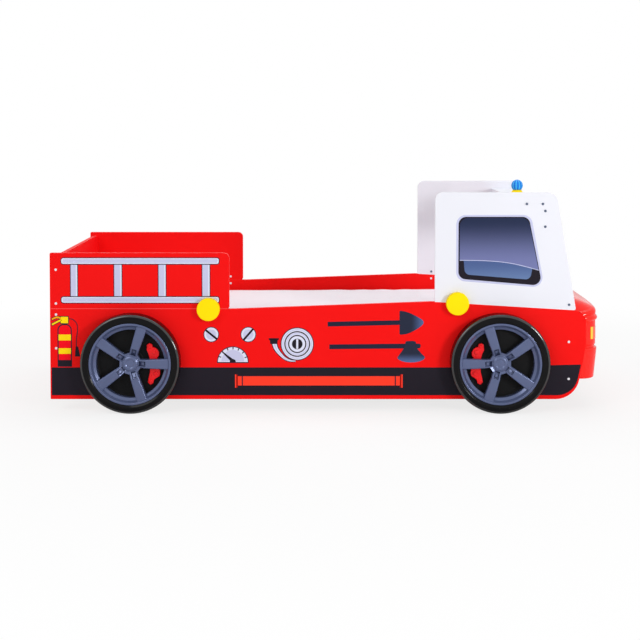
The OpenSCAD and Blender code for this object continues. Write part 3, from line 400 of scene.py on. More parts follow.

# %% [markdown]
# ## Finishes of two tones
# The bolt caps are pale on the red boards and a darker grey on the white cab, which
# is painted shade. The amber lamps have a painted yellow glint in the middle, and the
# beacon a painted light cyan highlight along the crests of its ribs. Two materials on
# different faces would meet in a hard edge. One material does it softly: it reads
# where on the bed a point lies and mixes the two tones from that.

# %% Caps, amber lamps and beacon
# the cab's region, where the bolt caps take a darker grey that paints their shade
CAB_REAR = 0.4
BELT_HEIGHT, BELT_FALL = 0.4605, 0.0606  # at X = 0, and per metre towards the nose
# where the amber lamps' painted yellow glint lies along X, its full width and where it fades out
GLINT_X, GLINT_WIDTH, GLINT_FADE = 1.0585, 0.003, 0.008
# RIBS counts the beacon's ribs; the other two set how narrow and strong the painted highlight on
# their crests is
RIBS, HIGHLIGHT_FOCUS, HIGHLIGHT_SHARE = 10, 5, 0.75
beacon_x = sum(p.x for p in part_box("beacon_ball")) / 2


def two_toned(name, tone, deep, other, share_at, bump, patch=0.3, peel=0.003, **shader):
    """A coating that takes another tone by the share that share_at(tree, x, y, z) gives."""
    material, tree = blank(name)
    out = use_group(
        tree, coating, Tone=srgb(*tone), Deep_Tone=srgb(*deep), Patch=patch, Peel=peel)
    color = blend(tree, share_at(tree, *place_on_bed(tree)), out["Color"], srgb(*other))
    return finish_shell(material, color, out["Height"], bump, **shader)


# share of painted shade on the caps: 1 on the cab, above its belt line
def painted_cab_shade(tree, x, y, z):
    over_belt = calc(tree, "ADD", z, calc(tree, "MULTIPLY", x, BELT_FALL))
    return calc(tree, "MULTIPLY", calc(tree, "GREATER_THAN", x, CAB_REAR),
                calc(tree, "GREATER_THAN", over_belt, BELT_HEIGHT))


# share of the painted yellow glint down the middle of the amber lens
def painted_lamp_glint(tree, x, y, z):
    from_glint = calc(tree, "ABSOLUTE", calc(tree, "SUBTRACT", x, GLINT_X))
    return ramp(tree, from_glint, GLINT_WIDTH, GLINT_FADE, 1, 0)


# share of the painted light cyan highlight along the crests of the beacon's ribs
def painted_crest_highlight(tree, x, y, z):
    around = calc(tree, "ARCTAN2", y, calc(tree, "SUBTRACT", x, beacon_x))
    crest = calc(tree, "COSINE", calc(tree, "MULTIPLY", around, RIBS / 2))
    light = calc(tree, "POWER", calc(tree, "ABSOLUTE", crest), HIGHLIGHT_FOCUS)
    return calc(tree, "MULTIPLY", light, HIGHLIGHT_SHARE)


# pale caps on the red boards; on the cab a grey that is painted shade
finish["cap_plastic"] = two_toned(
    "cap_plastic", (236, 233, 238), (222, 219, 226), (92, 102, 124), painted_cab_shade,
    bump=0.00002, patch=0.02, peel=0.001, Roughness=0.45, Specular_IOR_Level=0.1)
# the yellow tone here is a painted glint on the amber lens
finish["amber_lens"] = two_toned(
    "amber_lens", (255, 84, 16), (252, 70, 10), (255, 206, 50), painted_lamp_glint,
    bump=0.00003, patch=0.05, Roughness=0.16, Coat_Weight=0.5, Coat_Roughness=0.04)
# the light cyan here is a painted highlight on the ribs' crests
finish["beacon_blue"] = two_toned(
    "beacon_blue", (0, 124, 226), (0, 108, 216), (70, 205, 250), painted_crest_highlight,
    bump=0.00003, patch=0.03, Roughness=0.14, Specular_IOR_Level=0.3)
print("finishes", len(finish))

# %% [markdown]
# The mattress cover is matt and takes a little sheen, the soft light that loose fibres
# catch at a flat angle. The pine of the base lies along, across or upright, and its
# grain always runs with the length. One material can't tell which way a board lies,
# so there are three, from the same group with another stretch.

# %% Cloth and wood
material, tree = blank("mattress_cover")
out = use_group(
    tree, knit, Loop=0.0022, Thread=srgb(250, 244, 250), Shade=srgb(240, 234, 241))
finish["mattress_cover"] = finish_shell(
    material, out["Color"], out["Height"], bump=0.0004,
    Roughness=0.85, Sheen_Weight=0.25, Specular_IOR_Level=0.2)

GRAIN_RUNS = {"pine_long": (1, 14, 14), "pine_cross": (14, 1, 14), "pine_up": (14, 14, 1)}
for name, stretch in GRAIN_RUNS.items():
    material, tree = blank(name)
    out = use_group(
        tree, grain, Stretch=stretch, Light_Wood=srgb(232, 206, 158),
        Dark_Wood=srgb(204, 164, 108))
    finish[name] = finish_shell(
        material, out["Color"], out["Height"], bump=0.0002, Roughness=0.55)
print("finishes", len(finish))

# %% [markdown]
# ## Finishes on the frame's own nodes
# A board, screw or slat already has its true shape, so it keeps its node and takes
# a finish. Real boards have edges that are eased by about a millimetre, which catch
# the light as a thin line. On the red boards the eased strip takes a paler red, which
# paints that line as a highlight. Modifiers add the strip without touching the node's
# mesh: weld the corners, merge flat triangles, bevel what is left, and even out the
# shading.

# %% Dress the nodes
GRAIN_OF = {
    "side_rail_right": "pine_long", "side_rail_left": "pine_long", "centre_beam": "pine_long",
    "slats": "pine_cross", "centre_legs": "pine_up", "wheel_posts": "pine_up",
}
BOARD_KINDS = ("side", "box", "cab", "rear", "front", "header", "roof")
BOARD_EASE, PINE_EASE, LAMP_EASE = 0.0018, 0.002, 0.0008
slot_of = {row["node"]: row["material_slot"] for row in frame["record"]["subparts"]}


def dress(node, material):
    piece = nodes[node]
    piece.data.materials.clear()
    piece.data.materials.append(material)


def ease_edges(node, width, edge=None):
    """Eases the sharp edges; the eased strip may take a paler finish of its own, a painted
    highlight.
    """
    piece = nodes[node]
    weld = piece.modifiers.new("weld", "WELD")
    weld.merge_threshold = 0.00001
    merge = piece.modifiers.new("merge flats", "DECIMATE")
    merge.decimate_type = "DISSOLVE"
    merge.angle_limit = math.radians(1)
    bevel = piece.modifiers.new("ease", "BEVEL")
    bevel.width = width
    bevel.segments = 2
    bevel.limit_method = "ANGLE"
    bevel.angle_limit = math.radians(30)
    bevel.harden_normals = True
    if edge:
        piece.data.materials.append(edge)
        bevel.material = 1
    even = piece.modifiers.new("even shading", "WEIGHTED_NORMAL")
    even.keep_sharp = True


for node in nodes:
    dress(node, finish[GRAIN_OF.get(node, slot_of[node])])
for node in nodes:
    if node.split("_")[0] in BOARD_KINDS:
        red = slot_of[node] == "red_board"
        # red boards' eased strips take the paler red of the painted edge highlight
        ease_edges(node, BOARD_EASE, finish["red_edge_highlight"] if red else None)
for node in ("centre_beam", "wheel_posts", "slats"):
    ease_edges(node, PINE_EASE)
print("dressed", len(nodes), "nodes")

# %% [markdown]
# ## Mesh tools
# Most pieces start as an outline. A bevel could round its corners later, but each
# corner of a moulding has a radius of its own, so the outline gets true arcs from
# the start.

# %% Rounded outlines
def arc_corner(a, p, b, radius, step):
    """The corner at p between a and b as an arc of that radius, step degrees a point."""
    if radius <= 0:
        return [tuple(p)]
    a, p, b = (Vector(v) for v in (a, p, b))
    u, v = (a - p).normalized(), (b - p).normalized()
    half = math.acos(max(-1, min(1, u.dot(v)))) / 2
    centre = p + (u + v).normalized() * radius / math.sin(half)
    reach = radius / math.tan(half)
    first, last = p + u * reach - centre, p + v * reach - centre
    begin = math.atan2(first.y, first.x)
    turn = math.atan2(first.x * last.y - first.y * last.x, first.dot(last))
    steps = max(2, math.ceil(abs(math.degrees(turn)) / step))
    return [
        (centre.x + radius * math.cos(begin + turn * i / steps),
         centre.y + radius * math.sin(begin + turn * i / steps))
        for i in range(steps + 1)
    ]


def rounded(points, step=6):
    """Outline from points (x, y, corner radius)."""
    count = len(points)
    out = []
    for i, (x, y, radius) in enumerate(points):
        before, after = points[i - 1], points[(i + 1) % count]
        out += arc_corner(before[:2], (x, y), after[:2], radius, step)
    return out


print("a rounded square has", len(rounded([(0, 0, 1), (4, 0, 1), (4, 4, 1), (0, 4, 1)])), "points")

# %% [markdown]
# A list of vertices and faces becomes a piece in the same way each time: the mesh is
# cleaned, its faces are turned outwards, and it is shaded smooth with sharp edges kept
# sharp. Round pieces are turned as on a lathe: a profile of radius and height is swept
# round an axis. Other closed forms are lofted: loops of points are joined by faces.

# %% New pieces
SMOOTH = 35  # degrees; an edge with a wider angle stays sharp


def shade(mesh, angle):
    mesh.shade_smooth()
    mesh.set_sharp_from_angle(angle=math.radians(angle))


def new_piece(name, verts, faces, material, smooth=SMOOTH, body="bed"):
    mesh = bpy.data.meshes.new(name)
    mesh.from_pydata([tuple(v) for v in verts], [], faces)
    mesh.validate()
    bm = bmesh.new()
    bm.from_mesh(mesh)
    bmesh.ops.remove_doubles(bm, verts=bm.verts, dist=1e-7)
    bmesh.ops.recalc_face_normals(bm, faces=bm.faces)
    bm.to_mesh(mesh)
    bm.free()
    piece = bpy.data.objects.new(name, mesh)
    scene.collection.objects.link(piece)
    mesh.materials.append(material)
    if smooth:
        shade(mesh, smooth)
    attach(piece, body)
    return piece


print("meshes so far", len(bpy.data.meshes))

# %% Lathe and loft
def lathe(profile, segments=96):
    """Vertices and faces of a profile of (radius, height) turned round Z."""
    verts, faces = [], []
    rows = []
    for radius, height in profile:
        if radius < 1e-9:
            rows.append([len(verts)] * segments)
            verts.append((0, 0, height))
            continue
        rows.append(list(range(len(verts), len(verts) + segments)))
        verts += [
            (radius * math.cos(math.tau * i / segments),
             radius * math.sin(math.tau * i / segments), height)
            for i in range(segments)
        ]
    closed = profile[0][0] > 1e-9 and profile[-1][0] > 1e-9
    pairs = list(zip(rows, rows[1:])) + ([(rows[-1], rows[0])] if closed else [])
    for low, high in pairs:
        for i in range(segments):
            k = (i + 1) % segments
            face = list(dict.fromkeys([low[i], low[k], high[k], high[i]]))
            if len(face) > 2:
                faces.append(face)
    return verts, faces


def ring_faces(rows, n):
    """Faces between rows of n points, where each row is a closed loop."""
    return [
        [j * n + i, j * n + (i + 1) % n, (j + 1) * n + (i + 1) % n, (j + 1) * n + i]
        for j in range(rows - 1) for i in range(n)
    ]


def loft(loops):
    """A closed piece through loops that have the same number of points."""
    n, last = len(loops[0]), len(loops[0]) * (len(loops) - 1)
    ends = [list(range(n))[::-1], list(range(last, last + n))]
    return [v for loop in loops for v in loop], ends + ring_faces(len(loops), n)


def prism(outline, low, high):
    """A closed plate from an outline, between two heights."""
    return loft([[(x, y, z) for x, y in outline] for z in (low, high)])


def join(parts):
    """One list of vertices and faces out of several closed parts."""
    verts, faces = [], []
    for part_verts, part_faces in parts:
        base = len(verts)
        verts += part_verts
        faces += [[i + base for i in face] for face in part_faces]
    return verts, faces


print("a lofted cube has", len(prism([(0, 0), (1, 0), (1, 1), (0, 1)], 0, 1)[1]), "faces")

# %% [markdown]
# ## Sizes that the pieces share
# The frame tells where things are: the outer face of the side panels, the axles and
# the front. A wheel is drawn lying down, with its axis along Z, and then stood against
# the panel. The front wheels are the mirror image of the rear ones, and the left side
# is the mirror image of the right one.

# %% Shared sizes and wheel places
FACE = -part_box("side_panel_right")[0].y
FRONT = cad_high.x


def middle(node):
    low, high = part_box(node)
    return (low + high) / 2


def wheel_matrix(axle, side):
    centre = middle(f"tyre_{axle}_{side}")
    forward = 1 if axle == "rear" else -1
    outward = -1 if side == "right" else 1
    return Matrix((
        (forward, 0, 0, centre.x),
        (0, 0, outward, outward * FACE),
        (0, 1, 0, centre.z),
        (0, 0, 0, 1),
    ))


WHEELS = [(axle, side) for axle in ("rear", "front") for side in ("right", "left")]
TYRE_R = (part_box("tyre_rear_right")[1].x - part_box("tyre_rear_right")[0].x) / 2
WHEEL_PROUD = -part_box("tyre_rear_right")[0].y - FACE


def on_wheels(part, node, ending, slot):
    """Stands a part against the panel at each wheel, in place of the frame's node."""
    verts, faces = part
    pieces = []
    for axle, side in WHEELS:
        matrix = wheel_matrix(axle, side)
        piece = new_piece(f"{node}_{axle}_{side}_{ending}",
                          [matrix @ Vector(v) for v in verts], faces, finish[slot])
        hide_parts(f"{node}_{axle}_{side}")
        pieces.append(piece)
    return pieces


print("panel face", round(FACE, 4), "tyre radius", round(TYRE_R, 4),
      "proud", round(WHEEL_PROUD, 4))

# %% [markdown]
# ## Tyres
# The tyre is a hollow plastic moulding that only looks like rubber: a flat satin
# sidewall that slopes down into a groove beside the rim, and a soft shoulder that
# carries the one long highlight. It is turned on the lathe, fine enough for its edge
# to look round, and the faces of the shoulder take a more polished finish.

# %% Tyres
RIM_R = 0.1615
SHOULDER, SLOPE, SINK = 0.009, 0.0085, 0.0045
POLISHED, MARGIN = 0.8, 0.0005  # share of the shoulder's height, and metres inwards
tyre_verts, tyre_faces = lathe(rounded([
    (RIM_R, 0, 0), (TYRE_R, 0, 0), (TYRE_R, WHEEL_PROUD, SHOULDER),
    (RIM_R + SLOPE, WHEEL_PROUD, 0.005), (RIM_R, WHEEL_PROUD - SINK, 0.0008),
], step=9), segments=128)


def on_shoulder(face):
    radius = min(math.hypot(*tyre_verts[i][:2]) for i in face)
    height = min(tyre_verts[i][2] for i in face)
    return radius > TYRE_R - SHOULDER - MARGIN and height > WHEEL_PROUD - SHOULDER * POLISHED


shoulder = [int(on_shoulder(face)) for face in tyre_faces]
for tyre in on_wheels((tyre_verts, tyre_faces), "tyre", "turned", "tyre_black"):
    tyre.data.materials.append(finish["tyre_shoulder"])
    tyre.data.polygons.foreach_set("material_index", shoulder)
print("tyre faces", len(tyre_faces), "polished", sum(shoulder))

# %% [markdown]
# ## Hub caps
# The hub cap is a small turned moulding, domed with a shallow dish in the middle,
# which stays bare. A squashed sphere would lack the dish and its soft rim, so it is
# turned from a profile too. It sits on the hub, which is dished below the spokes.

# %% Hub caps
HUB_HIGH, DISH = 0.054, 0.016
CAP_R, CAP_RISE = 0.0295, 0.006
cap_low = HUB_HIGH - DISH
cap_high = cap_low + CAP_RISE
hub_cap = lathe(rounded([
    (0, cap_low, 0), (CAP_R, cap_low, 0), (CAP_R, cap_low + 0.003, 0.002),
    (CAP_R * 0.8, cap_high, 0.004), (CAP_R * 0.62, cap_high, 0.0012),
    (CAP_R * 0.52, cap_high - 0.002, 0.0012), (CAP_R * 0.3, cap_high - 0.0012, 0.004),
    (0, cap_high - 0.0006, 0),
], step=12))
on_wheels(hub_cap, "hub_cap", "turned", "rim_slate")
print("hub cap from", round(cap_low, 4), "to", round(cap_high, 4))

# %% [markdown]
# ## Joining discs
# The yellow discs are thick, flat pucks with a rounded rim that cover the joint
# between the lower and the upper side boards. The frame has all four in one node, so
# two pieces stand for it: the pair at the rear and the pair at the front.

# %% Joining discs
DISC_R, DISC_EDGE = 0.045, 0.003
disc_low, disc_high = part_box("joining_discs")
DISC_T = -disc_low.y - FACE
disc_verts, disc_faces = lathe(rounded([
    (0, 0, 0), (DISC_R, 0, 0), (DISC_R, DISC_T, DISC_EDGE), (0, DISC_T, 0)], step=10))
disc_places = {
    "rear": (disc_low.x + DISC_R, disc_low.z + DISC_R),
    "front": (disc_high.x - DISC_R, disc_high.z - DISC_R),
}
for name, (x, z) in disc_places.items():
    pair = join(
        ([(x + u, side * (FACE + h), z + v) for u, v, h in disc_verts], disc_faces)
        for side in (-1, 1))
    puck = new_piece(f"joining_discs_{name}", *pair, finish["yellow_plastic"])
    if name == "rear":
        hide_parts("joining_discs")
print("disc thickness", round(DISC_T, 4), "places", disc_places)

# %% [markdown]
# ## Front moulding
# The nose is three thin mouldings that wrap round the front on one plan line: two
# short straight sides, two round corners and a long flat front. The bumper and the
# lamp band are a constant section carried along that line. The bonnet is not: its
# lines run up over a bead and a rounded edge and then draw back to the front board,
# so it is built as a shell from station to station. The side panels pass through the
# moulding's ends, and an exact boolean cuts their room out of it.

# %% Plan line of the moulding
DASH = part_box("front_board")[1].x
CORNER_R = 0.078
FLAT = FACE - CORNER_R
BONNET_END = 0.9 * FLAT
SIDE_STEPS, CORNER_STEPS, FRONT_STEPS = 4, 24, 24


def plan_line():
    """Stations from side to side: point, outward direction, end on the front board."""
    fan = (FLAT - BONNET_END) / 10
    out = []
    for i in range(SIDE_STEPS):
        t = i / SIDE_STEPS
        out.append((DASH + (FRONT - CORNER_R - DASH) * t, -FACE, 0, -1, -FLAT + fan * 2 * t))
    for i in range(CORNER_STEPS + 1):
        a = math.radians(-90 + 90 * i / CORNER_STEPS)
        u, v = math.cos(a), math.sin(a)
        out.append((FRONT - CORNER_R + CORNER_R * u, -FLAT + CORNER_R * v, u, v,
                    -FLAT + fan * (2 + 8 * i / CORNER_STEPS)))
    for i in range(1, FRONT_STEPS + 1):
        t = 1 - i / FRONT_STEPS
        out.append((FRONT, -FLAT * t, 1, 0, -BONNET_END * t))
    return out + [(x, -y, u, -v, -e) for x, y, u, v, e in out[-2::-1]]


plan = plan_line()
print("stations", len(plan))

# %% Sweeps and cuts
def sweep(section, stations):
    """A closed section of (inset, height) carried along the stations."""
    return loft([
        [(x - u * inset, y - v * inset, z) for inset, z in section]
        for x, y, u, v, _ in stations
    ])


BELT_REAR, NOSE_TOP, NOSE_FOOT = 0.406, 0.398, 0.262  # heights along the panel's outline
NOSE_R, CHIN_R, CHIN_RAKE = 0.052, 0.095, 0.040
BELT_STEP, BELT_PEAK = 0.020, 0.013  # in front of the box and behind the cab


def side_outline(grow):
    """Outline of a side panel in X and Z, from the frame's own levels."""
    low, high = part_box("side_panel_right")
    tail, nose, foot = low.x - grow, high.x + grow, low.z - grow
    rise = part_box("box_panel_right")[1].x + BELT_STEP
    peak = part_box("cab_panel_right")[0].x - BELT_PEAK
    return rounded([
        (tail, foot, 0.004), (tail, BELT_REAR + grow, 0), (rise, BELT_REAR + grow, 0),
        (peak, high.z + grow, 0), (nose, NOSE_TOP + grow, NOSE_R), (nose, NOSE_FOOT, NOSE_R),
        (nose - CHIN_RAKE, foot, CHIN_R),
    ])


def slab(outline, y0, y1):
    verts, faces = prism(outline, y0, y1)
    return [(x, y, z) for x, z, y in verts], faces


def apply_modifier(piece, modifier):
    """Makes what the modifier shows the piece's own mesh."""
    bpy.context.view_layer.update()
    shown = piece.evaluated_get(bpy.context.evaluated_depsgraph_get())
    made = bpy.data.meshes.new_from_object(shown)
    piece.modifiers.remove(modifier)
    piece.data = made
    return made


def cut(piece, *tools):
    """Takes closed tools, each (vertices, faces), away from the piece."""
    tool = new_piece(piece.name + "_tool", *join(tools), piece.data.materials[0], smooth=0)
    modifier = piece.modifiers.new("cut", "BOOLEAN")
    modifier.operation = "DIFFERENCE"
    modifier.solver = "EXACT"
    modifier.object = tool
    made = apply_modifier(piece, modifier)
    bpy.data.objects.remove(tool)
    shade(made, SMOOTH)
    return piece


FIT = 0.0005
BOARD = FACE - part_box("rear_board_lower")[1].y
panel_room = [
    slab(side_outline(FIT), side * (FACE - BOARD - FIT), side * (FACE + FIT)) for side in (-1, 1)
]
print("board", round(BOARD, 4), "outline points", len(side_outline(FIT)))

# %% [markdown]
# The bonnet is one sheet of plastic, 4 mm thick. A solidify modifier could give it
# that thickness, but it would fold the bead's inside into a knot. So each station has
# an outer and an inner line of its own, and the lines are joined into one shell.

# %% Bonnet
LAMP_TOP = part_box("lamp_band")[1].z
DASH_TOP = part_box("front_board")[1].z
SHELL, CROWN, BULGE = 0.004, 0.022, 1.6
BEAD_R, BEAD_PROUD, INNER_BEAD = 0.012, 0.007, 0.8
EDGE_ROUND, EDGE_PROUD = 0.016, 0.001
BEAD_Z = LAMP_TOP + BEAD_R
EDGE_Z = BEAD_Z + BEAD_R + EDGE_ROUND
BEAD_STEPS, EDGE_STEPS, TOP_STEPS = 12, 8, 22


def crown(y):
    return CROWN * (1 - (abs(y) / FACE) ** 6)


def bonnet_line(station, inner):
    """The shell's outer or inner line at one station, from lamp band to front board."""
    x, y, u, v, end_y = station
    wall = SHELL if inner else 0
    span = math.pi / 2 - math.asin((BEAD_R - BEAD_PROUD) / BEAD_R)
    line = []
    for i in range(BEAD_STEPS + 1):
        a = -span + 2 * span * i / BEAD_STEPS
        inset, z = BEAD_R - BEAD_R * math.cos(a), BEAD_Z + BEAD_R * math.sin(a)
        if i == 0:
            inset, z = BEAD_PROUD, LAMP_TOP
        if inner:
            inset, z = BEAD_PROUD + SHELL, LAMP_TOP + INNER_BEAD * (z - LAMP_TOP)
        line.append((x - u * inset, y - v * inset, z))
    for i in range(EDGE_STEPS + 1):
        a = math.pi / 2 * i / EDGE_STEPS
        inset = BEAD_PROUD - EDGE_PROUD + EDGE_ROUND * (1 - math.cos(a)) + wall
        z = EDGE_Z - EDGE_ROUND * (1 - math.sin(a)) - wall + crown(y)
        line.append((x - u * inset, y - v * inset, z))
    first = Vector(line[-1])
    last = Vector((DASH, end_y, DASH_TOP - CROWN + crown(end_y) - wall))
    for i in range(1, TOP_STEPS + 1):
        t = i / TOP_STEPS
        point = first.lerp(last, t)
        point.z = first.z + (last.z - first.z) * (1 - (1 - t) ** BULGE)
        line.append(tuple(point))
    return line


rows = [bonnet_line(s, False) + bonnet_line(s, True)[::-1] for s in plan]
n = len(rows[0])
faces = ring_faces(len(rows), n)
for base in (0, (len(rows) - 1) * n):
    faces += [
        [base + i, base + i + 1, base + n - 2 - i, base + n - 1 - i] for i in range(n // 2 - 1)]
shell = new_piece("bonnet_shell", [v for row in rows for v in row], faces,
                  finish["red_moulding"])
bonnet = cut(shell, *panel_room)
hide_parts("bonnet")
print("bonnet faces", len(bonnet.data.polygons))

# %% [markdown]
# The lamp band stands back under the bead and holds the lamps and the grille in
# openings. The openings could be left out of the mesh face by face, but rounded
# windows are easier to cut: closed tools go through the band like a punch, flat ones
# at the front and curved ones at the corners.

# %% Lamp openings
bumper_low, bumper_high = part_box("bumper")
seam, band_foot = bumper_high.z, bumper_high.z + 0.012
LAMP_Z = (band_foot + LAMP_TOP) / 2
HEADLAMP_W, HEADLAMP_H, CORNER_LAMP_H, LAMP_R = 0.124, 0.062, 0.0496, 0.014
CORNER_LAMP_AT, CORNER_LAMP_SPREAD = 38, 34  # degrees round the corner
HEADLAMP_Y = -middle("headlamp_right").y
GRILLE_W = (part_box("grille")[1].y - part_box("grille")[0].y) - 0.012


def window(y, width):
    """Closed tool for a rounded opening through the band's front."""
    half_w, half_h = width / 2, HEADLAMP_H / 2
    outline = rounded([
        (y - half_w, LAMP_Z - half_h, LAMP_R), (y + half_w, LAMP_Z - half_h, LAMP_R),
        (y + half_w, LAMP_Z + half_h, LAMP_R), (y - half_w, LAMP_Z + half_h, LAMP_R)])
    verts, faces = prism(outline, FRONT - BEAD_PROUD - 3 * SHELL, FRONT + 0.001)
    return [(x, y, z) for y, z, x in verts], faces


def corner_block(side, steps=16):
    """Closed tool for the opening that follows the moulding's corner."""
    low, high, deep = LAMP_Z - CORNER_LAMP_H / 2, LAMP_Z + CORNER_LAMP_H / 2, BEAD_PROUD + 2 * SHELL
    stations = []
    for i in range(steps + 1):
        a = math.radians(
            -CORNER_LAMP_AT - CORNER_LAMP_SPREAD / 2 + CORNER_LAMP_SPREAD * i / steps)
        u, v = math.cos(a), math.sin(a)
        stations.append((FRONT - CORNER_R + CORNER_R * u, side * (FLAT - CORNER_R * v),
                         u, -side * v, 0))
    return sweep([(deep, low), (0, low), (0, high), (deep, high)], stations)


print("lamps at", round(LAMP_Z, 4), "and", round(HEADLAMP_Y, 4), "grille", round(GRILLE_W, 4))

# %% Lamp band
LEDGE = 0.034
lamp_section = rounded([
    (BEAD_PROUD, LAMP_TOP, 0), (BEAD_PROUD, band_foot, 0.003),
    (BEAD_PROUD + SHELL, band_foot - SHELL, 0.002), (BEAD_PROUD + SHELL, seam, 0),
    (LEDGE, seam, 0), (LEDGE, seam + SHELL, 0), (BEAD_PROUD + 2 * SHELL, seam + SHELL, 0),
    (BEAD_PROUD + 2 * SHELL, band_foot, 0), (BEAD_PROUD + SHELL, band_foot + SHELL, 0),
    (BEAD_PROUD + SHELL, LAMP_TOP, 0),
], step=10)
lamp_band = cut(
    new_piece("lamp_band_shell", *sweep(lamp_section, plan), finish["red_moulding"]),
    *panel_room, window(-HEADLAMP_Y, HEADLAMP_W), window(HEADLAMP_Y, HEADLAMP_W),
    window(0, GRILLE_W), corner_block(-1), corner_block(1),
)
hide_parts("lamp_band")
print("band faces", len(lamp_band.data.polygons))

# %% [markdown]
# The bumper is the lowest moulding, a channel that is open at the back. Its face
# leans in towards the floor. It is swept like the band and cut by the panels only.

# %% Bumper
FACE_IN, RAKE = 0.001, 0.012
foot_in, foot = FACE_IN + RAKE, bumper_low.z
bumper_section = rounded([
    (LEDGE, seam, 0), (FACE_IN, seam, 0.006), (foot_in, foot, 0.004), (LEDGE, foot, 0),
    (LEDGE, foot + SHELL, 0), (foot_in + SHELL, foot + SHELL, 0.002),
    (FACE_IN + SHELL, seam - SHELL, 0.003), (LEDGE, seam - SHELL, 0),
], step=10)
bumper = cut(
    new_piece("bumper_shell", *sweep(bumper_section, plan), finish["red_moulding"]),
    *panel_room)
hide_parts("bumper")
for node in ("grille", "headlamp_right", "headlamp_left", "corner_lamp_right", "corner_lamp_left"):
    ease_edges(node, LAMP_EASE)
print("bumper faces", len(bumper.data.polygons))

# %% [markdown]
# ## Beacon
# The beacon is a blue ball with broad upright ribs, cut flat where it sits on a yellow
# foot. A lathe can't make ribs, so the radius swings with the angle round the axis as
# well as with the height, and fades to a plain crown at the top.

# %% Beacon
ball_low, ball_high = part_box("beacon_ball")
BALL_R, RIB_DEPTH, CROWN_FADE = 0.025, 0.0026, 0.35
ball_z = ball_high.z - BALL_R
cut_angle = math.asin((ball_low.z - ball_z) / BALL_R)
AROUND, RISE = RIBS * 14, 40
verts = []
for j in range(RISE):
    a = cut_angle + (math.pi / 2 - cut_angle) * j / RISE
    fade = min(1, math.cos(a) / CROWN_FADE)
    for i in range(AROUND):
        b = math.tau * i / AROUND
        r = BALL_R - RIB_DEPTH * fade * (1 - abs(math.cos(RIBS / 2 * b)))
        verts.append((r * math.cos(a) * math.cos(b), r * math.cos(a) * math.sin(b),
                      ball_z + r * math.sin(a)))
flat_z = verts[0][2]
verts[:AROUND] = [(x, y, max(z, flat_z)) for x, y, z in verts[:AROUND]]
crown_point, base_point, top_row = len(verts), len(verts) + 1, (RISE - 1) * AROUND
verts += [(0, 0, ball_z + BALL_R), (0, 0, flat_z)]
faces = ring_faces(RISE, AROUND)
for i in range(AROUND):
    k = (i + 1) % AROUND
    faces += [[top_row + i, top_row + k, crown_point], [i, k, base_point]]
ball = new_piece("beacon_ball_ribbed", [(x + beacon_x, y, z) for x, y, z in verts], faces,
                 finish["beacon_blue"], smooth=60)
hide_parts("beacon_ball")

foot_low, foot_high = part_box("beacon_base")
FOOT_STEP, FOOT_TOP = 0.3, 0.69  # share of the foot's height, and of the ball's radius
foot_r, foot_h = (foot_high.x - foot_low.x) / 2, foot_high.z - foot_low.z
verts, faces = lathe(rounded([
    (0, 0, 0), (foot_r, 0, 0.001), (foot_r, FOOT_STEP * foot_h, 0.003),
    (BALL_R * FOOT_TOP, foot_h, 0.001), (0, foot_h, 0),
], step=10))
foot = new_piece("beacon_foot", [(x + beacon_x, y, z + foot_low.z) for x, y, z in verts],
                 faces, finish["yellow_plastic"])
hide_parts("beacon_base")
print("beacon at", round(beacon_x, 4), "ball faces", len(ball.data.polygons))

# %% [markdown]
# ## Mattress
# A foam mattress is a crowned, closed form: a flat base, sides that bulge a little,
# soft edges, and a cover that is never quite smooth. It starts as a rounded block,
# smaller than the real one because it is going to swell, and a voxel remesh gives it
# even faces. A bevelled box would have long thin faces, which cloth folds badly.

# %% Mattress block
MATTRESS_T, BASE_EDGE, CORNER, EDGE_ROWS = 0.1655, 0.014, 0.055, 6
SHRINK, VOXEL = 0.004, 0.018
bed_low, bed_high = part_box("mattress")
half_l, half_w = (bed_high.x - bed_low.x) / 2 - SHRINK, (bed_high.y - bed_low.y) / 2 - SHRINK
mid = (bed_low + bed_high) / 2
edge = []
for k in range(EDGE_ROWS + 1):
    a = math.pi / 2 * k / EDGE_ROWS
    edge.append((BASE_EDGE * (1 - math.sin(a)), BASE_EDGE * (1 - math.cos(a))))
loops = []
for inset, height in edge + [(inset, MATTRESS_T - height) for inset, height in edge[::-1]]:
    x, y, radius = half_l - inset, half_w - inset, CORNER - inset
    outline = rounded([(x, y, radius), (-x, y, radius), (-x, -y, radius), (x, -y, radius)], 9)
    loops.append([(mid.x + u, mid.y + v, bed_low.z + height) for u, v in outline])
mattress = new_piece("mattress_cover", *loft(loops), finish["mattress_cover"], smooth=0,
                     body="mattress")
remesh = mattress.modifiers.new("remesh", "REMESH")
remesh.mode = "VOXEL"
remesh.voxel_size = VOXEL
print("mattress block", len(apply_modifier(mattress, remesh).vertices), "points")

# %% [markdown]
# A short cloth simulation with pressure inside lets the block swell as a filled cover
# does, while its base stays pinned on the slats. Sculpting would look as good, but
# the pressure finds the right bulge by itself. A cap on how far a point moves keeps
# the cover in the room between the boards.

# %% Swell the cover
def points_of(mesh):
    out = np.zeros(len(mesh.vertices) * 3)
    mesh.vertices.foreach_get("co", out)
    return out.reshape(-1, 3)


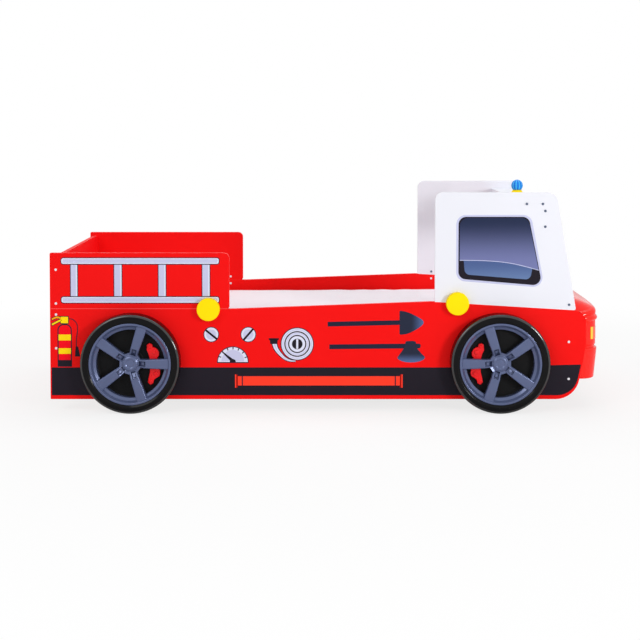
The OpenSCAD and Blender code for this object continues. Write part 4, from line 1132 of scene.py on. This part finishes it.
def swell(piece, pressure, frames, cap, pinned):
    """Blows the piece up with cloth, and lets no point move further than the cap."""
    rest = points_of(piece.data)
    group = piece.vertex_groups.new(name="held")
    group.add([int(i) for i in np.nonzero(pinned(rest))[0]], 1, "REPLACE")
    cloth = piece.modifiers.new("cloth", "CLOTH")
    cloth.settings.quality = 5
    cloth.settings.mass = 0.3
    cloth.settings.tension_stiffness = 10
    cloth.settings.compression_stiffness = 10
    cloth.settings.bending_stiffness = 0.5
    cloth.settings.use_pressure = True
    cloth.settings.uniform_pressure_force = pressure
    cloth.settings.effector_weights.gravity = 0
    cloth.settings.vertex_group_mass = "held"
    cloth.point_cache.frame_start, cloth.point_cache.frame_end = 1, frames
    for step in range(1, frames + 1):
        scene.frame_set(step)
    moved = piece.evaluated_get(bpy.context.evaluated_depsgraph_get())
    after = points_of(moved.data)
    piece.modifiers.remove(cloth)
    scene.frame_set(1)
    move = after - rest
    length = np.linalg.norm(move, axis=1)
    move *= (np.tanh(length / cap) * cap / np.maximum(length, 1e-9))[:, None]
    piece.data.vertices.foreach_set("co", (rest + move).ravel())
    piece.data.update()
    print("swollen by up to", round(float(np.linalg.norm(move, axis=1).max()), 4))


PINNED = 0.012  # height of the part of the base that the slats hold
swell(mattress, pressure=4, frames=20, cap=0.006,
      pinned=lambda rest: rest[:, 2] < bed_low.z + PINNED)

# %% [markdown]
# Foam is highest in the middle and sinks towards its edges, and a cover lies on it in
# slow waves, with a few short ripples near the cab. A texture could only shade them,
# so the points themselves move, and less and less towards the base.

# %% Crown, waves and base of the mattress
WAVES = ((3.1, 4.3, 1.7, 0.0022), (11, 7, 5.2, 0.0012))  # along, across, layer, height
RIPPLE_AT, RIPPLE_REACH, RIPPLE_H = 0.25, 0.16, 0.0016
RIPPLE_TURNS, RIPPLE_SLANT = 62, 9
HEAD_RISE, TOP_GAP = 0.006, 0.002
CROWN_T = bed_high.z - bed_low.z - MATTRESS_T - TOP_GAP
points = points_of(mattress.data)
x, y = points[:, 0], points[:, 1]
span = np.clip((points[:, 2] - bed_low.z) / MATTRESS_T, 0, 1)
u, v = (x - mid.x) / (half_l + SHRINK), (y - mid.y) / (half_w + SHRINK)
swollen = span ** 3 * (1 - np.abs(u) ** 4).clip(0) * (1 - np.abs(v) ** 4).clip(0)
waves = np.array([
    sum(noise.noise(Vector((px * along, py * across, layer))) * height
        for along, across, layer, height in WAVES)
    for px, py in zip(x, y)
])
ripples = (np.exp(-((x - RIPPLE_AT) / RIPPLE_REACH) ** 2)
           * np.sin(x * RIPPLE_TURNS + y * RIPPLE_SLANT) * RIPPLE_H)
points[:, 2] += CROWN_T * swollen
points[:, 2] += (waves + ripples + HEAD_RISE * u) * span ** 2
points[:, 2] = np.clip(points[:, 2], bed_low.z, bed_high.z)
points[:, 0] = np.clip(points[:, 0], bed_low.x, bed_high.x)
points[:, 1] = np.clip(points[:, 1], bed_low.y, bed_high.y)
mattress.data.vertices.foreach_set("co", points.ravel())
mattress.data.shade_smooth()
finer = mattress.modifiers.new("finer", "SUBSURF")
finer.levels = finer.render_levels = 1
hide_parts("mattress")
print("mattress top", round(float(points[:, 2].max()), 4))

# %% [markdown]
# ## Rims
# A rim is one moulding with soft edges: a lip at the tyre, a cone that falls inwards,
# five spokes with rounded shoulders, webs between their roots, and a hub. The wheel
# is dished: the root of each spoke bends down to the hub, and has a square pocket
# with a nut in it. Booleans could merge it all, but closed parts that overlap render
# the same when they share one finish, and they are easy to turn and to change.

# %% Tools for the rims
OPENING_R, BACK, RIM_TOP = 0.1345, 0.014, WHEEL_PROUD - 0.002
SPOKE_LOW, SPOKE_HIGH, WEB_HIGH, NUT_FLOOR = 0.029, 0.053, 0.0495, 0.040
HUB_R, SPOKE_ROOT, POCKET_END, SPOKE_END = 0.034, 0.030, 0.061, 0.1535
ROOT, TIP, POCKET = 0.0165, 0.0215, 0.0095  # half widths of the spoke and its pocket
SOFT, CRISP = 0.006, 0.001
WEB_ROOT, WEB_END, WEB_SIDE = 0.018, 0.0425, 0.013
NUT_NEAR, NUT_FAR, NUT_HALF, NUT_HIGH = 0.044, 0.055, 0.0055, 0.006


def beam(x0, x1, left, right, low, high, edges):
    """A beam along X: its sides at both ends, its heights, the radii of its upper edges."""
    return loft([
        [(x, y, z) for y, z in rounded([
            (left[i], low, 0), (right[i], low, 0), (right[i], high, edges[1]),
            (left[i], high, edges[0])], step=15)]
        for i, x in enumerate((x0, x1))
    ])


def turned(part, angle):
    c, s = math.cos(angle), math.sin(angle)
    return [(x * c - y * s, x * s + y * c, z) for x, y, z in part[0]], part[1]


def dished(u, v, h):
    """Lowers what lies near the hub towards the panel."""
    share = (POCKET_END - math.hypot(u, v)) / (POCKET_END - HUB_R)
    return u, v, h - DISH * min(max(share, 0), 1)


print("rim top", round(RIM_TOP, 4), "hub top", round(dished(0, 0, HUB_HIGH)[2], 4))

# %% Rims
fold = Matrix.Rotation(math.tau / 5, 2)
web = [(WEB_ROOT, WEB_SIDE), (WEB_END, WEB_SIDE), tuple(fold @ Vector((WEB_END, -WEB_SIDE))),
       tuple(fold @ Vector((WEB_ROOT, -WEB_SIDE)))]
waist = ROOT + (TIP - ROOT) * (POCKET_END - HUB_R) / (SPOKE_END - HUB_R)
spoke_parts = [
    beam(POCKET_END, SPOKE_END, (-waist, -TIP), (waist, TIP), SPOKE_LOW, SPOKE_HIGH,
         (SOFT, SOFT)),
    beam(SPOKE_ROOT, POCKET_END + 0.002, (-ROOT, -waist), (ROOT, waist), SPOKE_LOW,
         NUT_FLOOR, (0, 0)),
    beam(SPOKE_ROOT, POCKET_END, (-ROOT, -waist), (-POCKET, -POCKET), SPOKE_LOW, SPOKE_HIGH,
         (SOFT, CRISP)),
    beam(SPOKE_ROOT, POCKET_END, (POCKET, POCKET), (ROOT, waist), SPOKE_LOW, SPOKE_HIGH,
         (CRISP, SOFT)),
    beam(NUT_NEAR, NUT_FAR, (-NUT_HALF, -NUT_HALF), (NUT_HALF, NUT_HALF), NUT_FLOOR - 0.001,
         NUT_FLOOR + NUT_HIGH, (CRISP, CRISP)),
    prism(web, SPOKE_LOW, WEB_HIGH),
]
lip = lathe(rounded([
    (OPENING_R, BACK, 0), (RIM_R - 0.0002, BACK, 0), (RIM_R - 0.0002, RIM_TOP, 0.002),
    (RIM_R - 0.008, RIM_TOP, 0.003), (OPENING_R + 0.0105, RIM_TOP - 0.013, 0.005),
    (OPENING_R, RIM_TOP - 0.020, 0.003),
], step=12), segments=128)
hub = lathe(rounded([
    (0, SPOKE_LOW, 0), (HUB_R, SPOKE_LOW, 0), (HUB_R, HUB_HIGH, 0.003), (0, HUB_HIGH, 0),
], step=15))
verts, faces = join([lip, hub] + [
    turned(part, math.tau * i / 5) for i in range(5) for part in spoke_parts])
on_wheels(([dished(*v) for v in verts], faces), "rim", "soft", "rim_slate")
print("rim faces", len(faces))

# %% [markdown]
# ## Calipers
# Behind two of the openings sits a red brake caliper, a moulding with lobes and
# raised bosses. A lathe or a box has no such outline, so it is drawn point by point,
# with a radius at each corner, raised to a plate and softened by a bevel.

# %% Calipers
CALIPER_LOW, CALIPER_HIGH, BOSS = 0.0112, 0.0275, 0.004
CALIPER = [  # mm from the axle, with the radius of each corner
    (76, 10, 3), (75.5, -24, 3), (74, -40, 5), (68.5, -63, 5), (66.5, -78, 5), (77, -87, 5),
    (87.5, -81, 5), (91, -67, 4), (101.5, -59, 5), (112.5, -52, 5), (116, -40, 5),
    (113, -24, 4), (104, -18, 3), (102, 10, 3), (101, 18, 3), (110, 27, 5), (111, 41, 5),
    (105, 54, 5), (95, 61, 5), (85.5, 63, 3), (84, 73, 4), (73, 78, 5), (63, 72, 5),
    (62.5, 51, 5), (68.5, 37, 5),
]
BOSSES = ((92, 42, 8), (74, 64, 6.5), (98, -42, 8), (77, -73, 6.5))


def in_metres(outline):
    return [(x / 1000, y / 1000) for x, y in outline]


caliper_parts = [
    prism(in_metres(rounded(CALIPER, step=12)), CALIPER_LOW, CALIPER_HIGH - BOSS)]
for x, y, r in BOSSES:
    angles = [math.tau * i / 28 for i in range(28)]
    round_boss = [(x + r * math.cos(a), y + r * math.sin(a)) for a in angles]
    caliper_parts.append(prism(in_metres(round_boss), CALIPER_LOW + 0.001, CALIPER_HIGH))
for caliper in on_wheels(join(caliper_parts), "caliper", "lobed", "caliper_red"):
    soften = caliper.modifiers.new("soften", "BEVEL")
    soften.width, soften.segments, soften.harden_normals = 0.002, 3, True
    soften.limit_method, soften.angle_limit = "ANGLE", math.radians(50)
print("caliper parts", len(caliper_parts))

# %% [markdown]
# ## Printed equipment
# The side panels carry a printed picture of a fire engine's equipment. A print has no
# thickness that the eye can see. Painting it into the board's material would take a
# node for every outline, so each ink is a plate a fraction of a millimetre thick, and
# later inks lie on earlier ones. Some inks fade from one tone to another.

# %% Inks
INK = {
    name: coated("ink_" + name, tone, deep, roughness=0.42, patch=0.2, **WEAK)
    for name, tone, deep in (
        ("black", (33, 28, 38), (27, 23, 32)),
        ("line", (46, 34, 52), (40, 29, 46)),
        ("pale", (222, 226, 244), (215, 219, 240)),
        ("lavender", (199, 202, 230), (192, 194, 226)),
        ("yellow", (255, 222, 10), (252, 212, 6)),
        ("orange", (255, 66, 42), (252, 56, 36)),
        ("amber", (255, 176, 12), (252, 160, 8)),
        ("body", (250, 4, 30), (240, 2, 24)),
        ("navy", (34, 38, 58), (29, 33, 52)),
        ("deep_red", (158, 8, 8), (150, 6, 6)),
        # pale red for the joint above the stripe: a painted highlight, not a print
        ("edge", (255, 92, 92), (252, 76, 78)),
    )
}


def fading_ink(name, first, last, start, stop, axis):
    """An ink that runs from one tone to another along an axis, between two places in mm."""
    def share_at(tree, *spot):
        return ramp(tree, spot[axis], start / 1000, stop / 1000)

    return two_toned("ink_" + name, first, first, last, share_at, bump=0.00004,
                     Roughness=0.42, Specular_IOR_Level=0.16)


INK["shovel"] = fading_ink("shovel", (32, 38, 58), (90, 114, 168), 336, 412, 0)
INK["axe"] = fading_ink("axe", (32, 38, 58), (88, 112, 162), 232, 184, 2)
INK["glass"] = fading_ink("glass", (30, 40, 70), (112, 118, 166), 760, 575, 2)
INK["pane"] = fading_ink("pane", (74, 94, 142), (96, 120, 164), 590, 520, 2)
print("inks", len(INK))

# %% [markdown]
# Every motif is a plain outline in real sizes: X along the bed and Z above the floor,
# in millimetres. Four kinds of outline are enough: bars, discs, strokes of some width,
# and smooth lines through a few points.

# %% Outline tools for the prints
def bar(x0, z0, x1, z1, radius=0):
    return rounded([(x0, z0, radius), (x1, z0, radius), (x1, z1, radius), (x0, z1, radius)], 15)


def disc(x, z, radius, first=0, last=360, steps=48):
    """A full disc, or the part of it between two angles."""
    whole = last - first == 360
    turns = range(steps) if whole else range(steps + 1)
    return [
        (x + radius * math.cos(math.radians(first + (last - first) * i / steps)),
         z + radius * math.sin(math.radians(first + (last - first) * i / steps)))
        for i in turns
    ]


def stroke(points, width, end_width=None):
    """A line of that width through the points, with square ends; it may taper."""
    end_width = width if end_width is None else end_width
    left, right = [], []
    for i, p in enumerate(points):
        a, b = Vector(points[max(i - 1, 0)]), Vector(points[min(i + 1, len(points) - 1)])
        run = (b - a).normalized()
        share = i / (len(points) - 1)
        off = Vector((-run.y, run.x)) * (width + (end_width - width) * share) / 2
        left.append(tuple(Vector(p) + off))
        right.append(tuple(Vector(p) - off))
    return left + right[::-1]


def curve(points, steps=10):
    """A smooth line that passes through all the points."""
    p = [Vector(v) for v in (points[0], *points, points[-1])]
    out = []
    for a, b, c, d in zip(p, p[1:], p[2:], p[3:]):
        for i in range(steps):
            t = i / steps
            out.append(0.5 * (2 * b + (c - a) * t + (2 * a - 5 * b + 4 * c - d) * t * t
                              + (3 * b - a - 3 * c + d) * t ** 3))
    return [tuple(v) for v in out] + [tuple(p[-2])]


print("a disc has", len(disc(0, 0, 1)), "points")

# %% Plates of ink
LAYER = 0.00012


def print_piece(name, shapes):
    """shapes are (ink, layer, outline in mm); both sides of the bed get them."""
    bm = bmesh.new()
    inks = list(dict.fromkeys(ink for ink, _, _ in shapes))
    for ink, layer, outline in shapes:
        verts, faces = prism(outline, 0, LAYER * (layer + 1))
        for side in (-1, 1):
            made = [
                bm.verts.new((x / 1000, side * (FACE + rise), z / 1000)) for x, z, rise in verts]
            for face in faces:
                bm.faces.new([made[i] for i in face]).material_index = inks.index(ink)
    bmesh.ops.recalc_face_normals(bm, faces=bm.faces)
    mesh = bpy.data.meshes.new(name)
    bm.to_mesh(mesh)
    bm.free()
    for ink in inks:
        mesh.materials.append(INK[ink])
    piece = bpy.data.objects.new(name, mesh)
    scene.collection.objects.link(piece)
    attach(piece, "bed")
    print(name, len(shapes), "shapes")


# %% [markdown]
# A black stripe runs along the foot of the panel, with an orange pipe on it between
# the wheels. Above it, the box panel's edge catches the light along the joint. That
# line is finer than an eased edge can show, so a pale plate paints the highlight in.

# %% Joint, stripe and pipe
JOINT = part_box("box_panel_right")[0].z * 1000
BOX_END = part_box("box_panel_right")[1].x * 1000
JOINT_LOW, JOINT_HIGH = JOINT + 0.3, JOINT + 2.1
# a painted highlight along the joint, where the box panel's edge catches the light
print_piece("painted_joint_highlight", [("edge", 0, bar(-1086, JOINT_LOW, BOX_END - 6, JOINT_HIGH))])
print_piece("print_stripe", [
    ("black", 0, rounded([
        (-1084, 62.5, 0), (986, 62.5, 84), (1012, 185, 2), (480, 173.5, 0), (-1084, 173.5, 0)])),
])
PIPE, PIPE_LOW, PIPE_HIGH = -26, 101.5, 138.5
PIPE_HALF, SLEEVE, SLEEVE_LINE = 321, 303, 2.2
FLANGES = (("deep_red", PIPE_HALF, 327, 6), ("orange", 327, 332, 7))
pipe = [("orange", 1, bar(PIPE - PIPE_HALF, PIPE_LOW, PIPE + PIPE_HALF, PIPE_HIGH))]
for side in (-1, 1):
    for ink, near, far, rise in FLANGES:
        x0, x1 = sorted((PIPE + side * near, PIPE + side * far))
        pipe.append((ink, 1, bar(x0, PIPE_LOW - rise - 2, x1, PIPE_HIGH + rise)))
    x = PIPE + side * SLEEVE
    pipe.append(("line", 2, bar(x - SLEEVE_LINE, PIPE_LOW, x + SLEEVE_LINE, PIPE_HIGH)))
print_piece("print_pipe", pipe)

# %% [markdown]
# The ladder hangs along the box panel: four rungs behind two rails. Each has a dark
# outline, which is a slightly larger bar under the pale one.

# %% Ladder
RAILS = ((585, 607.4), (431, 453.5))
RUNGS = ((-1006, -980), (-834, -805), (-659, -631), (-486, -457.5))
LINE = 3.2
ladder = []
for x0, x1 in RUNGS:
    ladder += [
        ("line", 0, bar(x0 - LINE, 440, x1 + LINE, 596)),
        ("lavender", 1, bar(x0, 440, x1, 596)),
        ("pale", 2, bar(x1 - 6, 458, x1, 580)),
    ]
for z0, z1 in RAILS:
    ladder += [
        ("line", 3, bar(-1046, z0 - LINE, -418, z1 + LINE, 11)),
        ("pale", 4, bar(-1046 + LINE, z0, -418 - LINE, z1, 8)),
        ("lavender", 5, bar(-1038, z0 + 4, -426, z1 - 4, 4)),
    ]
print_piece("print_ladder", ladder)

# %% [markdown]
# The extinguisher stands behind the rear wheel: a red tank with yellow bands, a
# handle of two levers, and a hose that ends in a black horn. All its places are
# measured from the tank's middle line.

# %% Extinguisher
TANK = -1031.5
print_piece("print_extinguisher", [
    ("line", 0, stroke(curve([(TANK - 15, 369), (TANK - 30, 373), (TANK - 52, 364)]), 12)),
    ("amber", 1, stroke(curve([(TANK - 15, 369), (TANK - 30, 373), (TANK - 50, 365)]), 6.5)),
    ("line", 0, stroke([(TANK - 13, 363), (TANK - 52, 343)], 12)),
    ("yellow", 1, stroke([(TANK - 13, 363), (TANK - 50, 344)], 6.5)),
    ("line", 0, bar(TANK - 18, 346, TANK + 17, 378, 3)),
    ("yellow", 1, bar(TANK - 15, 349.5, TANK + 14, 375)),
    ("line", 0, rounded([
        (TANK - 28.5, 176, 3), (TANK + 28.5, 176, 3), (TANK + 28.5, 346, 24),
        (TANK - 28.5, 346, 24)])),
    ("body", 1, rounded([
        (TANK - 24, 180, 0), (TANK + 24, 180, 0), (TANK + 24, 341.5, 19.5),
        (TANK - 24, 341.5, 19.5)])),
    ("yellow", 2, bar(TANK - 24.5, 281, TANK + 24.5, 304.5)),
    ("yellow", 2, bar(TANK - 24.5, 227.5, TANK + 24.5, 250)),
    ("black", 2, bar(TANK - 27, 179, TANK + 27, 203)),
    ("line", 0, stroke(curve([
        (TANK + 15, 367), (TANK + 33, 364), (TANK + 48, 347), (TANK + 51, 322), (TANK + 47, 290),
        (TANK + 46, 265), (TANK + 48, 250),
    ]), 3.6)),
    ("black", 1, rounded([
        (TANK + 40, 217, 2), (TANK + 61, 217, 2), (TANK + 53, 257, 3), (TANK + 43, 257, 3)])),
])

# %% [markdown]
# The controls are two valve knobs, whose bars lean to either side, and half a dial
# with ticks and a needle. Discs on discs make the knobs, so that their dark outline
# is even all round.

# %% Valve knobs and dial
KNOB_R, KNOB_BAR = 31, 29
DIAL_X, DIAL_Z = -366.5, 195
TICKS = range(20, 170, 23)  # degrees


def ray(x, z, radius, angle):
    """The point at that distance and angle from a centre."""
    a = math.radians(angle)
    return x + radius * math.cos(a), z + radius * math.sin(a)


def knob(x, z, lean):
    return [
        ("line", 0, disc(x, z, KNOB_R)),
        ("pale", 1, disc(x, z, KNOB_R - 3.2)),
        ("lavender", 2, disc(x, z, 20)),
        ("black", 3, stroke([ray(x, z, -KNOB_BAR, lean), ray(x, z, KNOB_BAR, lean)], 8)),
    ]


print_piece("print_controls", [
    *knob(-451.6, 304.5, -39), *knob(-305, 304.5, 49),
    ("line", 0, disc(DIAL_X, DIAL_Z, 62.5, 0, 180) + [
        (DIAL_X - 62.5, DIAL_Z - 4), (DIAL_X + 62.5, DIAL_Z - 4)]),
    ("pale", 1, disc(DIAL_X, DIAL_Z, 59, 0, 180)),
    ("lavender", 2, disc(DIAL_X, DIAL_Z + 3, 45, 0, 180)),
    *(("line", 3, stroke([ray(DIAL_X, DIAL_Z, r, angle) for r in (50, 59.5)], 4))
      for angle in TICKS),
    ("black", 4, stroke([(DIAL_X, DIAL_Z + 4), (DIAL_X - 42, DIAL_Z + 41)], 13, 4)),
    ("black", 5, disc(DIAL_X, DIAL_Z, 12, 0, 180)),
])

# %% [markdown]
# The hose reel is a coil seen from its side, with the hose's end curling out of it to
# a nozzle. Rings with holes are awkward outlines. Full discs, each smaller and one
# layer higher than the last, show the same rings.

# %% Hose reel
REEL = (-111.5, 267)
tail = curve([(-202, 270), (-195, 248.5), (-180, 228), (-161, 210), (-139, 200.5), (-118, 199)])
reel = [
    ("line", 0, stroke(tail, 24, 9)),
    ("pale", 1, stroke(tail, 17, 3)),
    ("lavender", 2, stroke(tail, 7, 1)),
    ("black", 3, rounded([(-191, 267, 2), (-218, 267, 2), (-220, 284, 0), (-188, 284, 0)])),
    ("black", 3, bar(-224, 283, -184, 290, 2)),
]
for layer, (ink, radius) in enumerate((
    ("line", 66), ("pale", 62.5), ("lavender", 59), ("pale", 55), ("line", 51.2),
    ("pale", 46.4), ("lavender", 44), ("pale", 40), ("line", 36.2), ("pale", 31.4),
    ("black", 21),
), 3):
    reel.append((ink, layer, disc(*REEL, radius)))
reel.append(("pale", 14, bar(REEL[0] - 4, REEL[1] - 19, REEL[0] + 4, REEL[1] + 19)))
print_piece("print_reel", reel)

# %% [markdown]
# A shovel and an axe lie one above the other, both with plain navy handles. Their
# steel is dark at the handle and lighter towards the edge, so each blade is an
# outline of smooth curves and straight cuts in a fading ink.

# %% Shovel and axe
blade = [(293, 396)] + curve([
    (297, 399), (318, 395), (338, 388), (364, 375), (382, 363.5), (388.5, 352), (382, 341),
    (364, 327), (338, 313), (318, 306), (297, 303.5),
]) + [(293, 307)]
top_corner = curve([(318, 276), (324, 278.4), (351, 278.4), (357, 275)], 4)
back_corner = curve([(375, 266), (377.4, 260), (375, 252), (371, 250)], 4)
bit = curve([
    (394.5, 215), (388, 204.5), (366, 196), (338.5, 193.4), (311, 196), (291, 204), (284, 213)])
head = [
    (310, 249.5), (314, 256), (315, 268), *top_corner, (359.5, 268), (371, 268), *back_corner,
    (364, 248), (378, 231), *bit, (299, 233),
]
print_piece("print_tools", [
    ("navy", 0, stroke([(9, 345.5), (294, 352)], 18.5)),
    ("shovel", 1, blade),
    ("navy", 0, stroke([(15.5, 255.5), (320, 258.5)], 19)),
    ("axe", 1, head),
])

# %% [markdown]
# The cab's window is printed too. A pale border, a black frame, and glass that fades
# from night blue to lavender. Below the glass the frame shows a lighter pane.

# %% Cab window
def window_outline(left, top, inset, radius):
    return rounded([
        (521 + left, 518 + inset, radius), (866 - inset * 1.1, 490 + inset, radius),
        (811 - inset * 1.1, 775 - top, radius), (521 + left, 775 - top, radius),
    ])


sill = curve([(530, 599), (600, 598.5), (661, 595.5), (725, 588.5), (783, 576), (842, 560)])
glass = sill + rounded([(842, 562, 0), (800, 767, 34), (530, 767, 34), (530, 602, 0)])[1:]
pane = rounded([(545, 605, 0), (551, 543, 22), (808, 522, 22), (824, 600, 0)], 10)
print_piece("print_window", [
    ("lavender", 0, window_outline(-5, -3.5, 0, 38)),
    ("black", 1, window_outline(4, 4, 8, 30)),
    ("pane", 2, pane),
    ("glass", 3, glass),
    ("lavender", 4, stroke(sill, 2.4)),
])

# %% [markdown]
# ## Floor
# The floor is a plain pale sheet. To the camera it glows almost white, so that it meets
# the white background without a line, while enough of it is plain paint that the bed's
# shadow shows near the bed. Further out the paint fades away.

# %% Floor
floor_mesh = bpy.data.meshes.new("floor")
REACH, FADE_FROM, FADE_TO, GLOW = 40, 1.3, 3.2, 0.78
floor_mesh.from_pydata(
    [(-REACH, -REACH, 0), (REACH, -REACH, 0), (REACH, REACH, 0), (-REACH, REACH, 0)],
    [], [(0, 1, 2, 3)])
floor = bpy.data.objects.new("floor", floor_mesh)
floor.location.z = -0.0005
scene.collection.objects.link(floor)
material, tree = blank("floor_white")
tree.nodes.remove(tree.nodes["Principled BSDF"])
paint = place(tree, "BsdfDiffuse", {"Color": (0.9, 0.9, 0.9, 1)})
glow = place(tree, "Emission", {"Color": (1, 1, 1, 1), "Strength": 1})
far = place(tree, "VectorMath", {0: place(tree, "TexCoord").outputs["Object"]},
            operation="LENGTH")
fade = ramp(tree, far.outputs["Value"], FADE_FROM, FADE_TO, GLOW, 1)
share = calc(tree, "MULTIPLY", fade, place(tree, "LightPath").outputs["Is Camera Ray"])
mix = place(tree, "MixShader", {0: share, 1: paint.outputs[0], 2: glow.outputs[0]})
tree.links.new(mix.outputs[0], tree.nodes["Material Output"].inputs["Surface"])
floor_mesh.materials.append(material)
print("floor", 2 * REACH, "m across")
